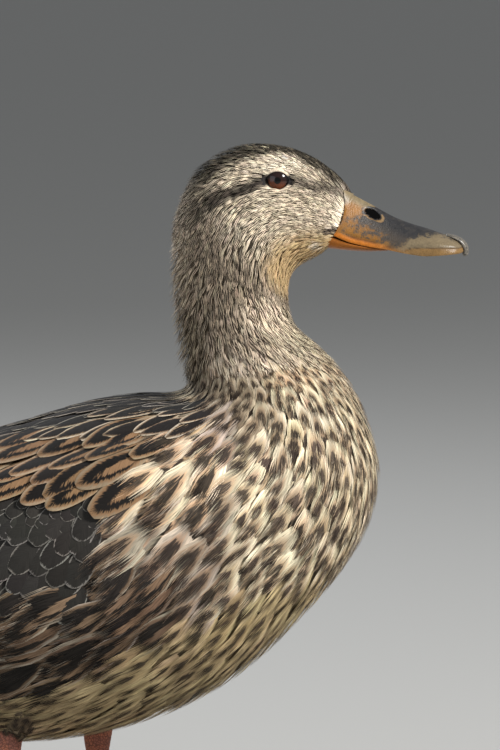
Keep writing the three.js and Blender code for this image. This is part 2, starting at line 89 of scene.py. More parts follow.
HEAD_END, COLLAR, NECK_END, TAIL_END = 6.35, 9.0, 10.3, len(BODY) - 1.0

# Swellings and hollows of the head's sides: centre (x, z), radius, height.
HEAD_FORMS = [
    (108, 257, 15, 1.6),  # cheek
    (115, 286, 7, 1.0),  # brow ridge
    (128, 272, 8, -1.2),  # hollow before the eye
    (113, 279.3, 6.5, -1.0),  # eye socket
]
WING = SimpleNamespace(start=12.1, end=19.3, thick=6.5)


def spline(rows, t):
    """Catmull-Rom through rows of numbers at 0, 1, 2 and so on, run on straight past both ends."""
    last = len(rows) - 1
    padded = np.vstack([2 * rows[0] - rows[1], rows, 2 * rows[-1] - rows[-2]])
    i = np.clip(np.floor(t).astype(int), 0, last - 1)
    f = (t - i)[..., None]
    a, b, c, d = (padded[i + k] for k in range(4))
    return b + 0.5 * f * (c - a + f * (2 * a - 5 * b + 4 * c - d + f * (3 * (b - c) + d - a)))


def curve(places, values):
    """A function that runs straight from value to value."""
    return lambda x: np.interp(x, places, values)


# The coat's depth at stations.
coat_depth = curve([0, 1, 3, 6, 10, 12, 16, 18, 20, 21], [0.8, 1.1, 1.6, 2.2, 3.4, 4.2, 4.4, 4.2, 3.4, 2.0])


def power(value, exponent):
    return np.sign(value) * np.abs(value) ** exponent


def ease(t):
    t = np.clip(t, 0, 1)
    return t * t * (3 - 2 * t)


def mix(a, b, t):
    return a + (b - a) * t


def unit(vectors):
    return vectors / np.linalg.norm(vectors, axis=-1, keepdims=True)


def together(*values):
    return np.broadcast_arrays(*(np.asarray(v, float) for v in values))


def from_back(angle):
    """How far round from the back a place is, on either side."""
    return np.abs((np.asarray(angle, float) + np.pi) % (2 * np.pi) - np.pi)


def head_form(x, z):
    forms = (rise * np.exp(-1.5 * ((x - cx) ** 2 + (z - cz) ** 2) / r**2) for cx, cz, r, rise in HEAD_FORMS)
    return sum(forms)


def body_point(t, angle, grow=0.0):
    """The outer surface of head, neck and trunk, grown outwards by grow."""
    t, angle, grow = together(t, angle, grow)
    top_x, top_z, low_x, low_z, half, egg, square = np.moveaxis(spline(BODY, t), -1, 0)
    up = power(np.cos(angle), 2 / square)
    out = power(np.sin(angle), 2 / square)
    chord_x, chord_z = top_x - low_x, top_z - low_z
    reach = 0.5 + 0.5 * up + grow * up / np.hypot(chord_x, chord_z)
    x, z = low_x + chord_x * reach, low_z + chord_z * reach
    y = -out * (half * (1 - egg * up) + grow)
    y = y - np.where(t < HEAD_END, np.sign(out) * out**2 * head_form(x, z), 0)
    return np.stack([x, y, z], -1)


def wing_swell(t, angle):
    """How far the folded wing lifts the coat over it, between its upper and lower edges."""
    share = np.clip((t - WING.start) / (WING.end - WING.start), 0, 1)
    upper = mix(0.95, 0.3, ease(share * 1.5))
    lower = mix(1.75, 1.1, ease((share - 0.35) / 0.65)) + 0.38 * np.sin(np.pi * np.clip(share * 1.1, 0, 1))
    across = (2 * np.abs(angle) - upper - lower) / (lower - upper)
    lengthwise = np.minimum(ease(share * 4.5), ease((1 - share) * 2.2))
    return WING.thick * ease(1.25 * (1 - across**2)) * lengthwise


def coat_point(t, angle, rise, lift=0.0):
    """A place in the coat: rise is 0 at the feathers' roots and 1 at its surface, and lift is in mm."""
    return body_point(t, angle, wing_swell(t, angle) + (rise - 1) * coat_depth(t) + lift)


# --- meshes ---


def new_object(name, points, faces):
    mesh = bpy.data.meshes.new(name)
    mesh.from_pydata((np.asarray(points).reshape(-1, 3) * MM).tolist(), [], faces)
    mesh.update()
    mesh.shade_smooth()
    obj = bpy.data.objects.new(name, mesh)
    bpy.context.scene.collection.objects.link(obj)
    return obj


def net(t_range, rows, columns):
    """Stations of a tube by rows, and angles round it by columns."""
    round_it = np.linspace(0, 2 * np.pi, columns, endpoint=False)
    return np.meshgrid(np.linspace(*t_range, rows), round_it, indexing="ij")


def grid_faces(rows, columns, wrap=False):
    """Quads of a grid of points, row by row; wrap joins each row's end to its start."""
    faces = []
    for r in range(rows - 1):
        for c in range(columns if wrap else columns - 1):
            a, b = r * columns + c, r * columns + (c + 1) % columns
            faces.append((a, b, b + columns, a + columns))
    return faces


def closed_faces(rows, columns):
    """Faces of a tube of points with both ends closed."""
    ends = [tuple(range(columns)), tuple(range((rows - 1) * columns, rows * columns))]
    return grid_faces(rows, columns, wrap=True) + ends


def dress(obj, material, slot, *nodes):
    obj.data.materials.append(material)
    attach(obj, "root")
    if nodes:
        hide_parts(*nodes)


def tube_object(name, points, material, slot, *nodes):
    """A closed tube of rows of points."""
    obj = new_object(name, points, closed_faces(*points.shape[:2]))
    dress(obj, material, slot, *nodes)
    return obj


def set_maps(obj, **maps):
    corner = np.zeros(len(obj.data.loops), np.int32)
    obj.data.loops.foreach_get("vertex_index", corner)
    for layer, values in maps.items():
        obj.data.uv_layers.new(name=layer, do_init=False).data.foreach_set("uv", values[corner].ravel())


def set_vector(obj, layer, values):
    obj.data.attributes.new(layer, "FLOAT_VECTOR", "POINT").data.foreach_set("vector", values.ravel())


def set_colours(obj, **layers):
    for layer, values in layers.items():
        values = np.hstack([values.reshape(-1, 3), np.ones((values.size // 3, 1))])
        obj.data.attributes.new(layer, "FLOAT_COLOR", "POINT").data.foreach_set("color", values.ravel())


# --- other surfaces ---

# The folded wing's tip is a blade of stacked feathers over the tail's root, and the tail is a fan.
WING_TIP = SimpleNamespace(
    line=np.array([(-52.0, 47.0, 151.0), (-110.0, 30.0, 146.5), (-167.0, 7.5, 135.0)]),
    thick=(4.2, 1.5),
    lean=(0.75, 0.12),
)
TAIL = SimpleNamespace(
    root=(-126.0, 122.0), tip=(-190.8, 124.5), half=(16.0, 28.0), thick=(6.5, 1.4), crown=5.0, rounded=0.2
)
# The right leg stands back and the left one forward, as in a slow step.
LEG = SimpleNamespace(side=30.0, ankle_z=48.0, ankle_half=5.9, shank_half=3.6, foot_z=6.4, flatness=0.82)
THIGH = SimpleNamespace(hip=(20.0, 33.0, 84.0), radii=(22.0, 16.0, 7.5), end=10.0)
SHIN = SimpleNamespace(above=(3.0, 0.0, 11.0), half=4.8)  # the bare end of the shin, above the ankle
STANCE = {"right": (3.0, 6.0, 6.0), "left": (39.0, 39.0, -6.0)}  # the ankle's x, the foot's x and its yaw


def wing_tip_point(side):
    """The blade's surface: t runs along it from 0 to 2, and out is in mm across it."""

    def place(t, out, rise, lift=0.0):
        x, y, z = np.moveaxis(spline(WING_TIP.line, np.asarray(t, float)), -1, 0)
        up = mix(*WING_TIP.thick, t / 2) * (rise - 0.5) + lift
        lean = mix(*WING_TIP.lean, t / 2)
        y = y + out * np.cos(lean) + up * np.sin(lean)
        return np.stack([x, -side * y, z - out * np.sin(lean) + up * np.cos(lean)], -1)

    return place


def tail_point(t, across, rise, lift=0.0):
    """The tail's fan: t runs from 0 at its root to 1 at its tip, and across from -1 to 1."""
    x = mix(TAIL.root[0], TAIL.tip[0], t * (1 - TAIL.rounded * np.abs(across) ** 2.4))
    y = across * mix(*TAIL.half, ease(t * 0.9) ** 0.8)
    thick = mix(*TAIL.thick, np.clip(t, 0, 1) ** 0.7) * mix(1, 0.75, across**2)
    z = mix(TAIL.root[1], TAIL.tip[1], t) + TAIL.crown * (1 - across**2) * mix(1, 0.55, t)
    return np.stack([x, y, z + thick * (rise - 0.5) + lift], -1)


def leg_points(name):
    """The sign of y on a side of the bird, and its hip, its ankle and its toes' joint."""
    ankle_x, foot_x, _ = STANCE[name]
    hip_x, hip_side, hip_z = THIGH.hip
    side = -SIDES[name]
    hip = np.array([ankle_x + hip_x, side * hip_side, hip_z])
    ankle = np.array([ankle_x, side * LEG.side, LEG.ankle_z])
    return side, hip, ankle, np.array([foot_x, side * (LEG.side + 1), LEG.foot_z])


def limb_point(line, radii, t, angle, grow=0.0, flatness=1.0):
    """A tube's surface: t counts the points of its line, and angle runs round it from its outer side."""
    t, angle, grow = together(t, angle, grow)
    line, last = np.asarray(line, float), len(line) - 1
    heading = unit(spline(line, np.minimum(t + 0.02, last)) - spline(line, np.maximum(t - 0.02, 0)))
    sideways = unit(np.array([0.0, 1.0, 0.0]) - heading * heading[..., 1:2])
    radius = spline(np.asarray(radii, float)[:, None], t) + grow[..., None]
    out = np.cos(angle)[..., None] * radius * flatness
    up = np.cross(heading, sideways) * np.sin(angle)[..., None]
    return spline(line, t) + sideways * out + up * radius


def thigh_point(name):
    _, hip, ankle, _ = leg_points(name)
    end = ankle + (3, 0, THIGH.end)
    line = [hip, (hip + end) / 2 + (-4, 0, -1), end]

    def place(t, angle, rise, lift=0.0):
        return limb_point(line, THIGH.radii, t, angle, (rise - 1) * mix(4.0, 1.4, t / 2) + lift)

    return place


# --- lie of the coat ---

STEPS = 6  # of a feather's centre line
FLOW = np.array([-0.92, 0.0, -0.39])  # how most of the trunk's feathers run
NECK_FLOW = np.array([-0.15, 0.0, -0.99])


def metric(place, t, angle):
    """How a place moves: mm for each t, mm for each angle slantwise along that, and squarely across it."""
    small = 0.004
    along = (place(t + small, angle, 0.5) - place(t - small, angle, 0.5)) / (2 * small)
    around = (place(t, angle + small, 0.5) - place(t, angle - small, 0.5)) / (2 * small)
    size = np.linalg.norm(along, axis=-1)
    slant = (along * around).sum(-1) / size
    return size, slant, np.sqrt(np.maximum((around**2).sum(-1) - slant**2, 1e-3))


def move(place, t, angle, ahead, aside):
    """The change of (t, angle) for ahead mm along the surface and aside mm across it."""
    size, slant, square = metric(place, t, angle)
    turn = aside / square
    return (ahead - turn * slant) / size, turn


def centre_lines(birds, place):
    """Places along each feather's middle, and how (t, angle) changes for a mm towards its side."""
    t, angle = birds.t.copy(), birds.angle.copy()
    step = birds.length / STEPS
    rows = []
    for k in range(STEPS + 1):
        turn = birds.turn + birds.bend * (k / STEPS - 0.5)
        rows.append((t, angle, *move(place, t, angle, -np.sin(turn), np.cos(turn))))
        ahead = move(place, t, angle, np.cos(turn) * step, np.sin(turn) * step)
        t, angle = t + ahead[0], angle + ahead[1]
    return np.array(rows)  # step, value, feather


def nearest(points):
    """A tree that finds the points near a place."""
    tree = KDTree(len(points))
    for i, p in enumerate(points):
        tree.insert(p, i)
    tree.balance()
    return tree


def scatter(place, t_range, angle_range, spacing, inside=None, stretch=1.0, tries=22, flow=FLOW):
    """Evenly spread roots, about spacing(t) mm apart, and stretch times that along the feathers' flow."""
    grid = np.meshgrid(np.linspace(*t_range, 60), np.linspace(*angle_range, 60), indexing="ij")

    def density(t, angle):
        size, _, square = metric(place, t, angle)
        return size * square / spacing(t) ** 2 / stretch

    over_all = density(*grid)
    wanted = int(over_all.max() * np.ptp(t_range) * np.ptp(angle_range) * tries)
    t, angle = RNG.uniform(*t_range, wanted), RNG.uniform(*angle_range, wanted)
    keep = RNG.uniform(0, 1, wanted) < density(t, angle) / over_all.max()
    t, angle = t[keep], angle[keep]
    if inside is not None:
        keep = inside(t, angle)
        t, angle = t[keep], angle[keep]
    gap, points = spacing(t), place(t, angle, 0.5)
    points = points - np.outer(points @ flow, flow) * (1 - 1 / stretch)
    tree = nearest(points)
    taken = np.zeros(len(points), bool)
    chosen = []
    for i, p in enumerate(points):
        if taken[i]:
            continue
        chosen.append(i)
        for _, j, _ in tree.find_range(p, gap[i]):
            taken[j] = True
    return t[chosen], angle[chosen]


def ripple(t, angle, per_t, per_angle):
    """A smooth uneven wave over the body, from -1 to 1."""
    waves = ((1.0, 0.7, 0.3), (0.6, -1.3, 2.1), (1.7, 0.4, 4.4), (-0.9, 1.9, 1.2))
    total = sum(np.sin(a * per_t * t + b * per_angle * angle + phase) for a, b, phase in waves)
    return total / len(waves) ** 0.5 / 1.4


# --- feathers as meshes ---

COLOURS = ("tint", "shade", "warm")  # of a feather's edge, its middle and the band between them


def outline(u, blunt, root=0.14, fullest=0.42):
    """A vane's half width as a share of its greatest, from its root at 0 to its tip at 1."""
    swell = mix(root, 1, ease(u / fullest))
    return swell * np.sqrt(1 - np.clip((u - fullest) / (1.0 - fullest), 0, 1) ** blunt * 0.985)


def barbed(strands, steps=(0, 0.4, 0.75, 1), spread=1.25):
    """A soft feather: strands that fan from the shaft and end in points."""
    u, q, faces = [], [], []
    for i in range(strands):
        middle = (i + 0.5) / strands * 2 - 1
        for k, s in enumerate(steps):
            half = spread / strands * (1 - ease((s - 0.5) / 0.5) * 0.93)
            reach = s * (1 - 0.2 * middle**2)
            u += [reach, reach]
            q += [middle - half, middle + half]
            if k:
                a = len(u) - 4
                faces.append((a, a + 1, a + 3, a + 2))
    strand = np.repeat(np.arange(strands), 2 * len(steps))
    return SimpleNamespace(u=np.array(u), q=np.array(q), strand=strand, faces=faces, blunt=6.0, camber=0.3)


def vane(rows, columns, blunt, camber=0.5):
    """A smooth feather: a cambered grid with more rows near its tip."""
    along = 1 - (1 - np.linspace(0, 1, rows)) ** 1.7
    u, q = (v.ravel() for v in np.meshgrid(along, np.linspace(-1, 1, columns), indexing="ij"))
    faces = grid_faces(rows, columns)
    return SimpleNamespace(u=u, q=q, strand=np.zeros(u.size, int), faces=faces, blunt=blunt, camber=camber)


def feathers(t, angle, length, half, colours, **more):
    """Feathers by arrays: root places, length and half width in mm, and more, each of them per feather."""
    values = {"turn": 0.0, "bend": 0.0, "low": 0.0, "high": 1.0, "lift": 0.0, "fray": 0.0, "puff": 0.0}
    values |= {"stray": 0.0, "length": length, "half": half} | more
    full = {k: np.broadcast_to(np.asarray(v, float), (len(t),)).copy() for k, v in values.items()}
    return SimpleNamespace(t=np.asarray(t, float), angle=np.asarray(angle, float), colours=colours, **full)


def lay(birds, shape, place):
    """Points and vane coordinates of feathers of one shape on a surface, by feather and vertex."""
    count, size = len(birds.t), len(shape.u)
    strands = shape.strand.max() + 1

    def by_strand(values):
        return values[:, shape.strand]

    short = birds.fray[:, None] * by_strand(RNG.uniform(0, 1, (count, strands)))
    u = shape.u[None, :] * (1 - short * shape.u**2)
    lines = centre_lines(birds, place)
    k = np.clip((u * STEPS).astype(int), 0, STEPS - 1)
    f = u * STEPS - k
    pick = np.arange(count)[:, None]
    t, angle, side_t, side_a = (mix(lines[k, n, pick], lines[k + 1, n, pick], f) for n in range(4))
    stray = by_strand(RNG.normal(0, 1, (count, strands))) * birds.stray[:, None] * shape.u**2
    wide = outline(u, shape.blunt) * birds.half[:, None] * shape.q + stray
    wobble = by_strand(RNG.normal(0, 1, (count, strands))) * birds.puff[:, None] * shape.u
    whole = RNG.normal(0, 0.12, (count, 1))
    rise = mix(birds.low[:, None], birds.high[:, None], 1 - (1 - u) ** 2.4)
    lift = birds.lift[:, None] * u**2 + wobble + whole
    lift = lift - shape.camber * shape.q**2 * birds.half[:, None] * 0.16
    points = place(t + wide * side_t, angle + wide * side_a, rise, lift)
    return points, np.stack([u, np.broadcast_to(shape.q, (count, size))], -1)


def coat_piece(name, material, slot, birds, shape, place=coat_point, nodes=()):
    """One mesh of feathers of one shape."""
    points, vanes = lay(birds, shape, place)
    count, size = vanes.shape[:2]
    faces = (np.array(shape.faces)[None] + np.arange(count)[:, None, None] * size).reshape(-1, 4)
    obj = new_object(name, points, faces.tolist())
    sizes = np.stack([birds.length, birds.half, RNG.uniform(0, 1, count)], -1)
    homes = np.stack([birds.angle, birds.t], -1)
    homes = (homes - homes.min(0)) / np.ptp(homes, axis=0) * 0.94 + 0.03
    patch = np.clip(0.35 / math.sqrt(count), 0.003, 0.03)
    vanes = vanes.reshape(-1, 2)
    baked = np.repeat(homes, size, 0) + patch * np.stack([vanes[:, 1] * 0.5, vanes[:, 0] - 0.5], -1)
    set_maps(obj, OFBake=baked, vane=vanes)
    set_vector(obj, "size", np.repeat(sizes, size, 0))
    set_colours(obj, **{layer: np.repeat(colour, size, 0) for layer, colour in zip(COLOURS, birds.colours)})
    dress(obj, material, slot, *nodes)


# --- colours of the plumage ---


def paints(**rows):
    """Colours by name, from red, green and blue in thousandths."""
    return {name: np.array(row).reshape(-1, 3).squeeze() / 1000 for name, row in rows.items()}


# A feather's edge, its middle, and a band between them, by parts of the bird.
PLUMAGE = paints(
    face=(700, 590, 440, 55, 42, 31, 460, 370, 260),
    brow=(900, 780, 610, 100, 80, 60, 660, 550, 410),
    crown=(80, 68, 48, 9, 7.5, 6.5, 40, 34, 24),
    stripe=(50, 40, 31, 8, 7, 6, 25, 20, 16),
    # painted shade in the mouth's corner, on the feathers beside the gape
    gape=(60, 45, 35, 6, 5, 5, 30, 22, 18),
    chin=(500, 360, 190, 370, 255, 130, 450, 320, 165),
    nape=(840, 680, 495, 85, 67, 50, 330, 260, 190),
    neck=(340, 270, 195, 40, 31, 23, 210, 165, 118),
    # the foreneck's own pale colour, made paler as painted light where light falls below the chin's shadow
    collar=(720, 600, 450, 85, 62, 45, 500, 390, 275),
    breast=(610, 530, 380, 58, 43, 32, 390, 290, 185),
    ruff=(380, 300, 205, 36, 26, 19, 150, 110, 75),
    rust=(600, 390, 210, 65, 38, 23, 500, 250, 110),
    side=(450, 385, 295, 42, 31, 24, 280, 190, 125),
    flank=(340, 285, 220, 16, 13, 11, 170, 110, 68),
    belly=(420, 325, 180, 50, 37, 24, 290, 215, 115),
    thigh=(130, 95, 60, 30, 23, 16, 90, 65, 40),
    mantle=(260, 230, 185, 9, 8, 7.5, 35, 30, 25),
    scapular_upper=(520, 430, 320, 12, 10, 9, 190, 130, 80),
    scapular=(310, 230, 145, 10, 8.5, 7.5, 220, 125, 65),
    shoulder=(680, 565, 415, 55, 41, 31, 550, 370, 220),
    covert=(155, 143, 126, 23, 21, 18.5, 36, 32, 28),
    rump=(300, 230, 150, 20, 16, 13, 160, 100, 60),
    vent=(520, 430, 300, 70, 50, 35, 340, 240, 140),
    tail=(460, 380, 270, 65, 48, 34, 300, 210, 130),
    speculum=(700, 670, 610, 26, 34, 120, 40, 33, 28),
    flight=(300, 250, 180, 40, 33, 27, 90, 70, 55),
)
# Parts round the section at stations of the head and neck: above, at the side and below.
ZONES = [
    (0.0, "crown", "brow", "chin"),
    (0.8, "crown", "face", "chin"),
    (4.8, "crown", "face", "chin"),
    (6.0, "nape", "neck", "neck"),
    (8.0, "ruff", "neck", "breast"),
    (9.2, "ruff", "collar", "breast"),
    (10.6, "mantle", "breast", "breast"),
]
# How far round from the middle the dark of the crown and nape reaches, at stations.
crown_edge = curve([0, 1, 3, 4, 5.5, 8, 9, 10], [0.3, 0.42, 0.5, 0.62, 0.72, 0.8, 0.85, 0.6])
# The crown's lower edge in the side view: heights at x.
crown_low = curve(
    [68, 72, 77.6, 87.5, 97.5, 107.5, 117, 124.5, 131.6, 139],
    [262, 269, 276, 284, 287.4, 289.4, 289.8, 286.6, 281.4, 275.5],
)
# The line through the eye: its height, half width and depth at x.
stripe_level = curve(
    [74, 80, 86, 94, 100, 108, 119, 123, 129, 140],
    [265.5, 269.5, 273.0, 275.5, 276.6, 279.3, 280.0, 278.4, 276.2, 273.0],
)
stripe_width = curve([74, 84, 96, 108, 113, 122, 139], [6.0, 4.2, 2.9, 2.2, 1.8, 1.9, 2.6])
stripe_depth = curve([70, 78, 88, 104, 108, 119, 123, 139], [0.1, 0.4, 0.95, 1.0, 1.0, 0.95, 0.8, 0.75])
# Patches in the side view: part, centre (x, z), half length and half height.
HEAD_PATCHES = [
    ("brow", 119, 285.5, 13, 3.8),
    # a dark patch of painted shade in the corner of the mouth
    ("gape", 136.0, 258.0, 3.8, 1.2),
    ("chin", 128, 250.0, 9, 3.0),
    ("brow", 131.4, 252.6, 2.2, 1.6),
    ("neck", 84, 257.0, 8, 12),
    # a pale patch below the chin: partly the foreneck's own colour, partly a painted pool of light
    ("collar", 108.0, 227.5, 10, 8.5),
]
BREAST_PATCHES = [("ruff", 90, 193, 18, 20), ("rust", 121, 203, 15, 9)]
SPREAD = 0.14  # how unlike each other the feathers of one colour are


def varied(colour, count, spread):
    """A colour for each of count feathers, each a little unlike the others."""
    light = RNG.normal(0, spread, (count, 1)) + RNG.normal(0, np.minimum(spread, 0.2) * 0.15, (count, 3))
    return (np.broadcast_to(colour, (count, 3)) * np.exp(light)).clip(0, 1)


def named_colours(name, count, spread=SPREAD):
    return [varied(colour, count, spread) for colour in PLUMAGE[name]]


def patched(parts, x, z, patches, share=1.0):
    """Colours of places, (place, edge or middle or band, rgb), with patches of other parts' colours."""
    for name, cx, cz, half_x, half_z in patches:
        away = ((x - cx) / half_x) ** 2 + ((z - cz) / half_z) ** 2
        parts = mix(parts, PLUMAGE[name], (np.exp(-(away**2)) * share)[:, None, None])
    return parts


def eye_stripe(x, z):
    """The dark line from the bill through the eye to the nape."""
    away = (z - stripe_level(x)) / stripe_width(x)
    return np.exp(-(away**4)) * stripe_depth(x)


def head_colours(t, angle, spread=SPREAD):
    """Colours at places of the head and neck, blended between the parts."""
    turn = from_back(angle)
    x, _, z = body_point(t, turn).T
    stations = np.array([zone[0] for zone in ZONES])
    bands = np.array([[PLUMAGE[name] for name in zone[1:]] for zone in ZONES])
    i = np.clip(np.searchsorted(stations, t) - 1, 0, len(ZONES) - 2)
    f = np.clip((t - stations[i]) / (stations[i + 1] - stations[i]), 0, 1)[:, None, None, None]
    rows = mix(bands[i], bands[i + 1], f)
    above = ease((crown_edge(t) + 0.2 - turn) / 0.35)
    above = np.maximum(above, ease((z - crown_low(x)) / 3.0 + 0.5) * (t < 5.5))
    below = ease((turn - np.interp(t, [0, 3, 6], [1.7, 1.8, 1.9])) / 0.5)
    weights = np.stack([above, 1 - above - below, below], -1)
    parts = (rows * weights[..., None, None]).sum(1)
    parts = patched(parts, x, z, HEAD_PATCHES, (1 - above) * (turn < 2.75))
    parts = mix(parts, PLUMAGE["stripe"], (eye_stripe(x, z) * (t < HEAD_END))[:, None, None])
    unlike = spread * (1 + 4.2 * above * ease((5.0 - t) / 1.5))[:, None]
    return [varied(parts[:, k], len(t), unlike if k == 0 else spread) for k in range(len(COLOURS))]


# --- skin ---

SKIN_VOXEL = 2.2


def skin():
    """The bird's bare body: trunk, neck, head and thighs in one closed surface."""
    points, faces, start = [], [], 0
    parts = [(coat_point, TAIL_END, 180, 96)] + [(thigh_point(name), 2, 30, 36) for name in SIDES]
    for place, end, rows, columns in parts:
        points.append(place(*net((0, end), rows, columns), 0.0).reshape(-1, 3))
        faces += [tuple(start + i for i in face) for face in closed_faces(rows, columns)]
        start += rows * columns
    obj = new_object("skin", np.concatenate(points), faces)
    remesh = obj.modifiers.new("one surface", "REMESH")
    remesh.mode = "VOXEL"
    remesh.voxel_size = SKIN_VOXEL * MM
    remesh.use_smooth_shade = True
    obj.modifiers.new("even", "SMOOTH").iterations = 4
    graph = bpy.context.evaluated_depsgraph_get()
    mesh = bpy.data.meshes.new_from_object(obj.evaluated_get(graph))
    obj.modifiers.clear()
    obj.data = mesh
    paint_skin(obj)
    material, shader = new_material("skin", 0.95, specular=0.0)
    paint(shader, attribute(material, "tint"))
    dress(obj, material, "body_plumage", "head", "neck", "trunk", "thigh_right", "thigh_left")


def paint_skin(obj):
    """The skin has the colours of the coat above it, darkened as painted shade under it, and of its edges
    where it shows beside the bill.
    """
    t, angle = (v.ravel() for v in np.meshgrid(np.linspace(0, 21, 140), np.linspace(*ROUND, 90)))
    tree = nearest(coat_point(t, angle, 0.0))
    near = np.array([tree.find(v.co / MM)[1] for v in obj.data.vertices])
    t, angle = t[near], angle[near]
    colours = np.array(head_colours(t, angle, 0.0))
    colour_trunk(colours, t, angle, t > NECK_END, 0.0)
    # painted shade: under the coat the skin takes three quarters of the feathers' middle colour, and beside
    # the bill it keeps the edge colour
    shaded_under_coat = ease((t - bill_edge(np.abs(angle))) / 0.45)
    set_colours(obj, tint=mix(colours[0], colours[1], 0.75 * shaded_under_coat[:, None]))


# --- materials ---


def maths(operation):
    return lambda *values: calc(operation, *values)


class Value:
    """A shader node's output; arithmetic with it adds the nodes that do it."""

    __add__, __sub__ = maths("ADD"), maths("SUBTRACT")
    __mul__, __truediv__ = maths("MULTIPLY"), maths("DIVIDE")
    __abs__ = maths("ABSOLUTE")

    def __init__(self, socket):
        self.socket, self.tree = socket, socket.id_data

    def __rsub__(self, other):
        return calc("SUBTRACT", other, self)


def wire(value, socket):
    """Sets a socket to a number or a colour, or links a value to it."""
    if isinstance(value, Value):
        value.tree.links.new(value.socket, socket)
    else:
        socket.default_value = (*value, 1) if isinstance(value, tuple) else value


def node(tree, kind, inputs, output=0, **settings):
    """A new node's output; inputs are by the names or numbers of the node's sockets."""
    made = tree.nodes.new("ShaderNode" + kind)
    for name, value in settings.items():
        setattr(made, name, value)
    for name, value in inputs.items():
        wire(value, made.inputs[name])
    return Value(made.outputs[output])


def calc(operation, *values):
    tree = next(v.tree for v in values if isinstance(v, Value))
    return node(tree, "Math", dict(enumerate(values)), operation=operation)


def between(value, low, high):
    """0 below low and 1 above high, smooth between them."""
    return node(value.tree, "MapRange", {0: value, 1: low, 2: high}, interpolation_type="SMOOTHSTEP")


def blend(share, first, second):
    """A mix of two colours."""
    return node(share.tree, "Mix", {0: share, 6: first, 7: second}, 2, data_type="RGBA")


def brighten(colour, value):
    return node(value.tree, "HueSaturation", {"Color": colour, "Value": value})


def joined(x, y, z):
    return node(x.tree, "CombineXYZ", {0: x, 1: y, 2: z})


def parts_of(vector):
    made = vector.tree.nodes.new("ShaderNodeSeparateXYZ")
    wire(vector, made.inputs[0])
    return [Value(socket) for socket in made.outputs]


def noise(place, scale, detail=2.0):
    return node(place.tree, "TexNoise", {"Vector": place, "Scale": scale, "Detail": detail})


def attribute(material, name, kind="Color"):
    return node(material.node_tree, "Attribute", {}, kind, attribute_name=name)


def place_in_mm(material):
    """The surface's own place in the bird's frame."""
    place = node(material.node_tree, "TexCoord", {}, "Object")
    return node(place.tree, "VectorMath", {0: place, "Scale": 1 / MM}, operation="SCALE")


def new_material(name, roughness, specular=0.5, colour=(0.8, 0.8, 0.8)):
    """A material and its shader's inputs."""
    material = bpy.data.materials.new(name)
    material.use_nodes = True
    shader = material.node_tree.nodes["Principled BSDF"].inputs
    wire(roughness, shader["Roughness"])
    wire(specular, shader["Specular IOR Level"])
    wire(colour, shader["Base Color"])
    return material, shader


def paint(shader, colour, height=None, strength=0.5, depth=0.3):
    """Gives a shader its colour, and bumps depth mm high where there is a height."""
    wire(colour, shader["Base Color"])
    if height:
        bump = node(height.tree, "Bump", {"Strength": strength, "Distance": depth * MM, "Height": height})
        wire(bump, shader["Normal"])


def feather_material(name, mark, barb=0.4, slant=0.9, roughness=0.75, streak=0.45):
    """Plumage: a mark says where the middle and the band between are, and barbs are barb mm wide."""
    material, shader = new_material(name, roughness, specular=0.12)
    u, q, _ = parts_of(node(material.node_tree, "UVMap", {}, uv_map="vane"))
    length, half, seed = parts_of(attribute(material, "size", "Vector"))
    out, along = abs(q) * half, u * length
    across_barbs, down_barbs = out - along * slant, out * slant + along
    fine = noise(joined(across_barbs / barb, down_barbs * 0.12, seed * 900.0 + calc("SIGN", q) * 37.0), 1.0)
    blur = fine - 0.5
    dark, band = MARKS[mark](u, q, seed, blur)
    edge = blend(band, attribute(material, "tint"), attribute(material, "warm"))
    colour = blend(dark, edge, attribute(material, "shade"))
    paint(shader, brighten(colour, blur * (streak * 2) + 1.0), fine, 0.6, 0.25)
    return material


# A mark gives how dark and how banded a vane is at (u, q), from its feather's seed and the barbs' blur.


def oval(u, q, middle, half_u, half_q):
    """1 at an oval's centre on the vane, and 0 on its rim."""
    a, b = (u - middle) / half_u, q / half_q
    return 1.0 - calc("SQRT", a * a + b * b)


def chance(seed, times=13.7):
    """Another number from 0 to 1 for each feather, from its seed."""
    return calc("FRACT", seed * times)


def oval_mark(middle, half_u, half_q, fray, dark, band, times=13.7):
    """A dark oval; its middle and half width are given as the least and how much more they are on some."""

    def mark(u, q, seed, blur):
        centre = chance(seed, 7.3) * middle[1] + middle[0]
        value = oval(u, q, centre, half_u, chance(seed, times) * half_q[1] + half_q[0]) + blur * fray
        return between(value, *dark), between(value, *band)

    return mark


def arrow_mark(u, q, seed, blur):
    """A dark feather with a warm band inside its pale fringe, and on some a warm wedge beside the shaft."""
    value = oval(u, q, 0.55, 0.40, chance(seed) * 0.26 + 0.64) + blur * 0.9
    wedge = between(oval(u, q - 0.2, 0.38, 0.38, 0.3) + blur * 1.2, 0.0, 0.2)
    some = wedge * between(chance(seed, 5.1), 0.45, 0.47)
    return between(value, -0.05, 0.1) * (1.0 - some), between(value, -0.36, -0.1)


def edged_mark(u, q, _, blur):
    """A dark feather with a thin pale edge, broken here and there."""
    edge = calc("MAXIMUM", abs(q), 1.0 - (1.0 - u) * 2.4) + blur * 0.25
    return between(edge, 0.9, 0.84), between(edge, 0.93, 0.86)


def barred_mark(u, q, seed, blur):
    """Dark bars that slant back from the shaft, inside a pale edge, as on the tail."""
    wave = calc("SINE", u * 24.0 - abs(q) * 3.0 + seed * 1.5)
    inside = between(abs(q), 0.95, 0.7) * between(u, 0.97, 0.9)
    return inside * between(wave + 0.55 + blur * 1.4, -0.2, 0.3), between(wave, -0.9, 0.4)


def speculum_mark(u, *_):
    """Blue-violet before the tip, between dark and white bars, with a white tip."""
    blue = between(u, 0.86, 0.84) * between(u, 0.66, 0.68)
    bar = between(u, 0.64, 0.63) * between(u, 0.6, 0.61)
    return blue, between(u, 0.93, 0.91) * (1.0 - bar)


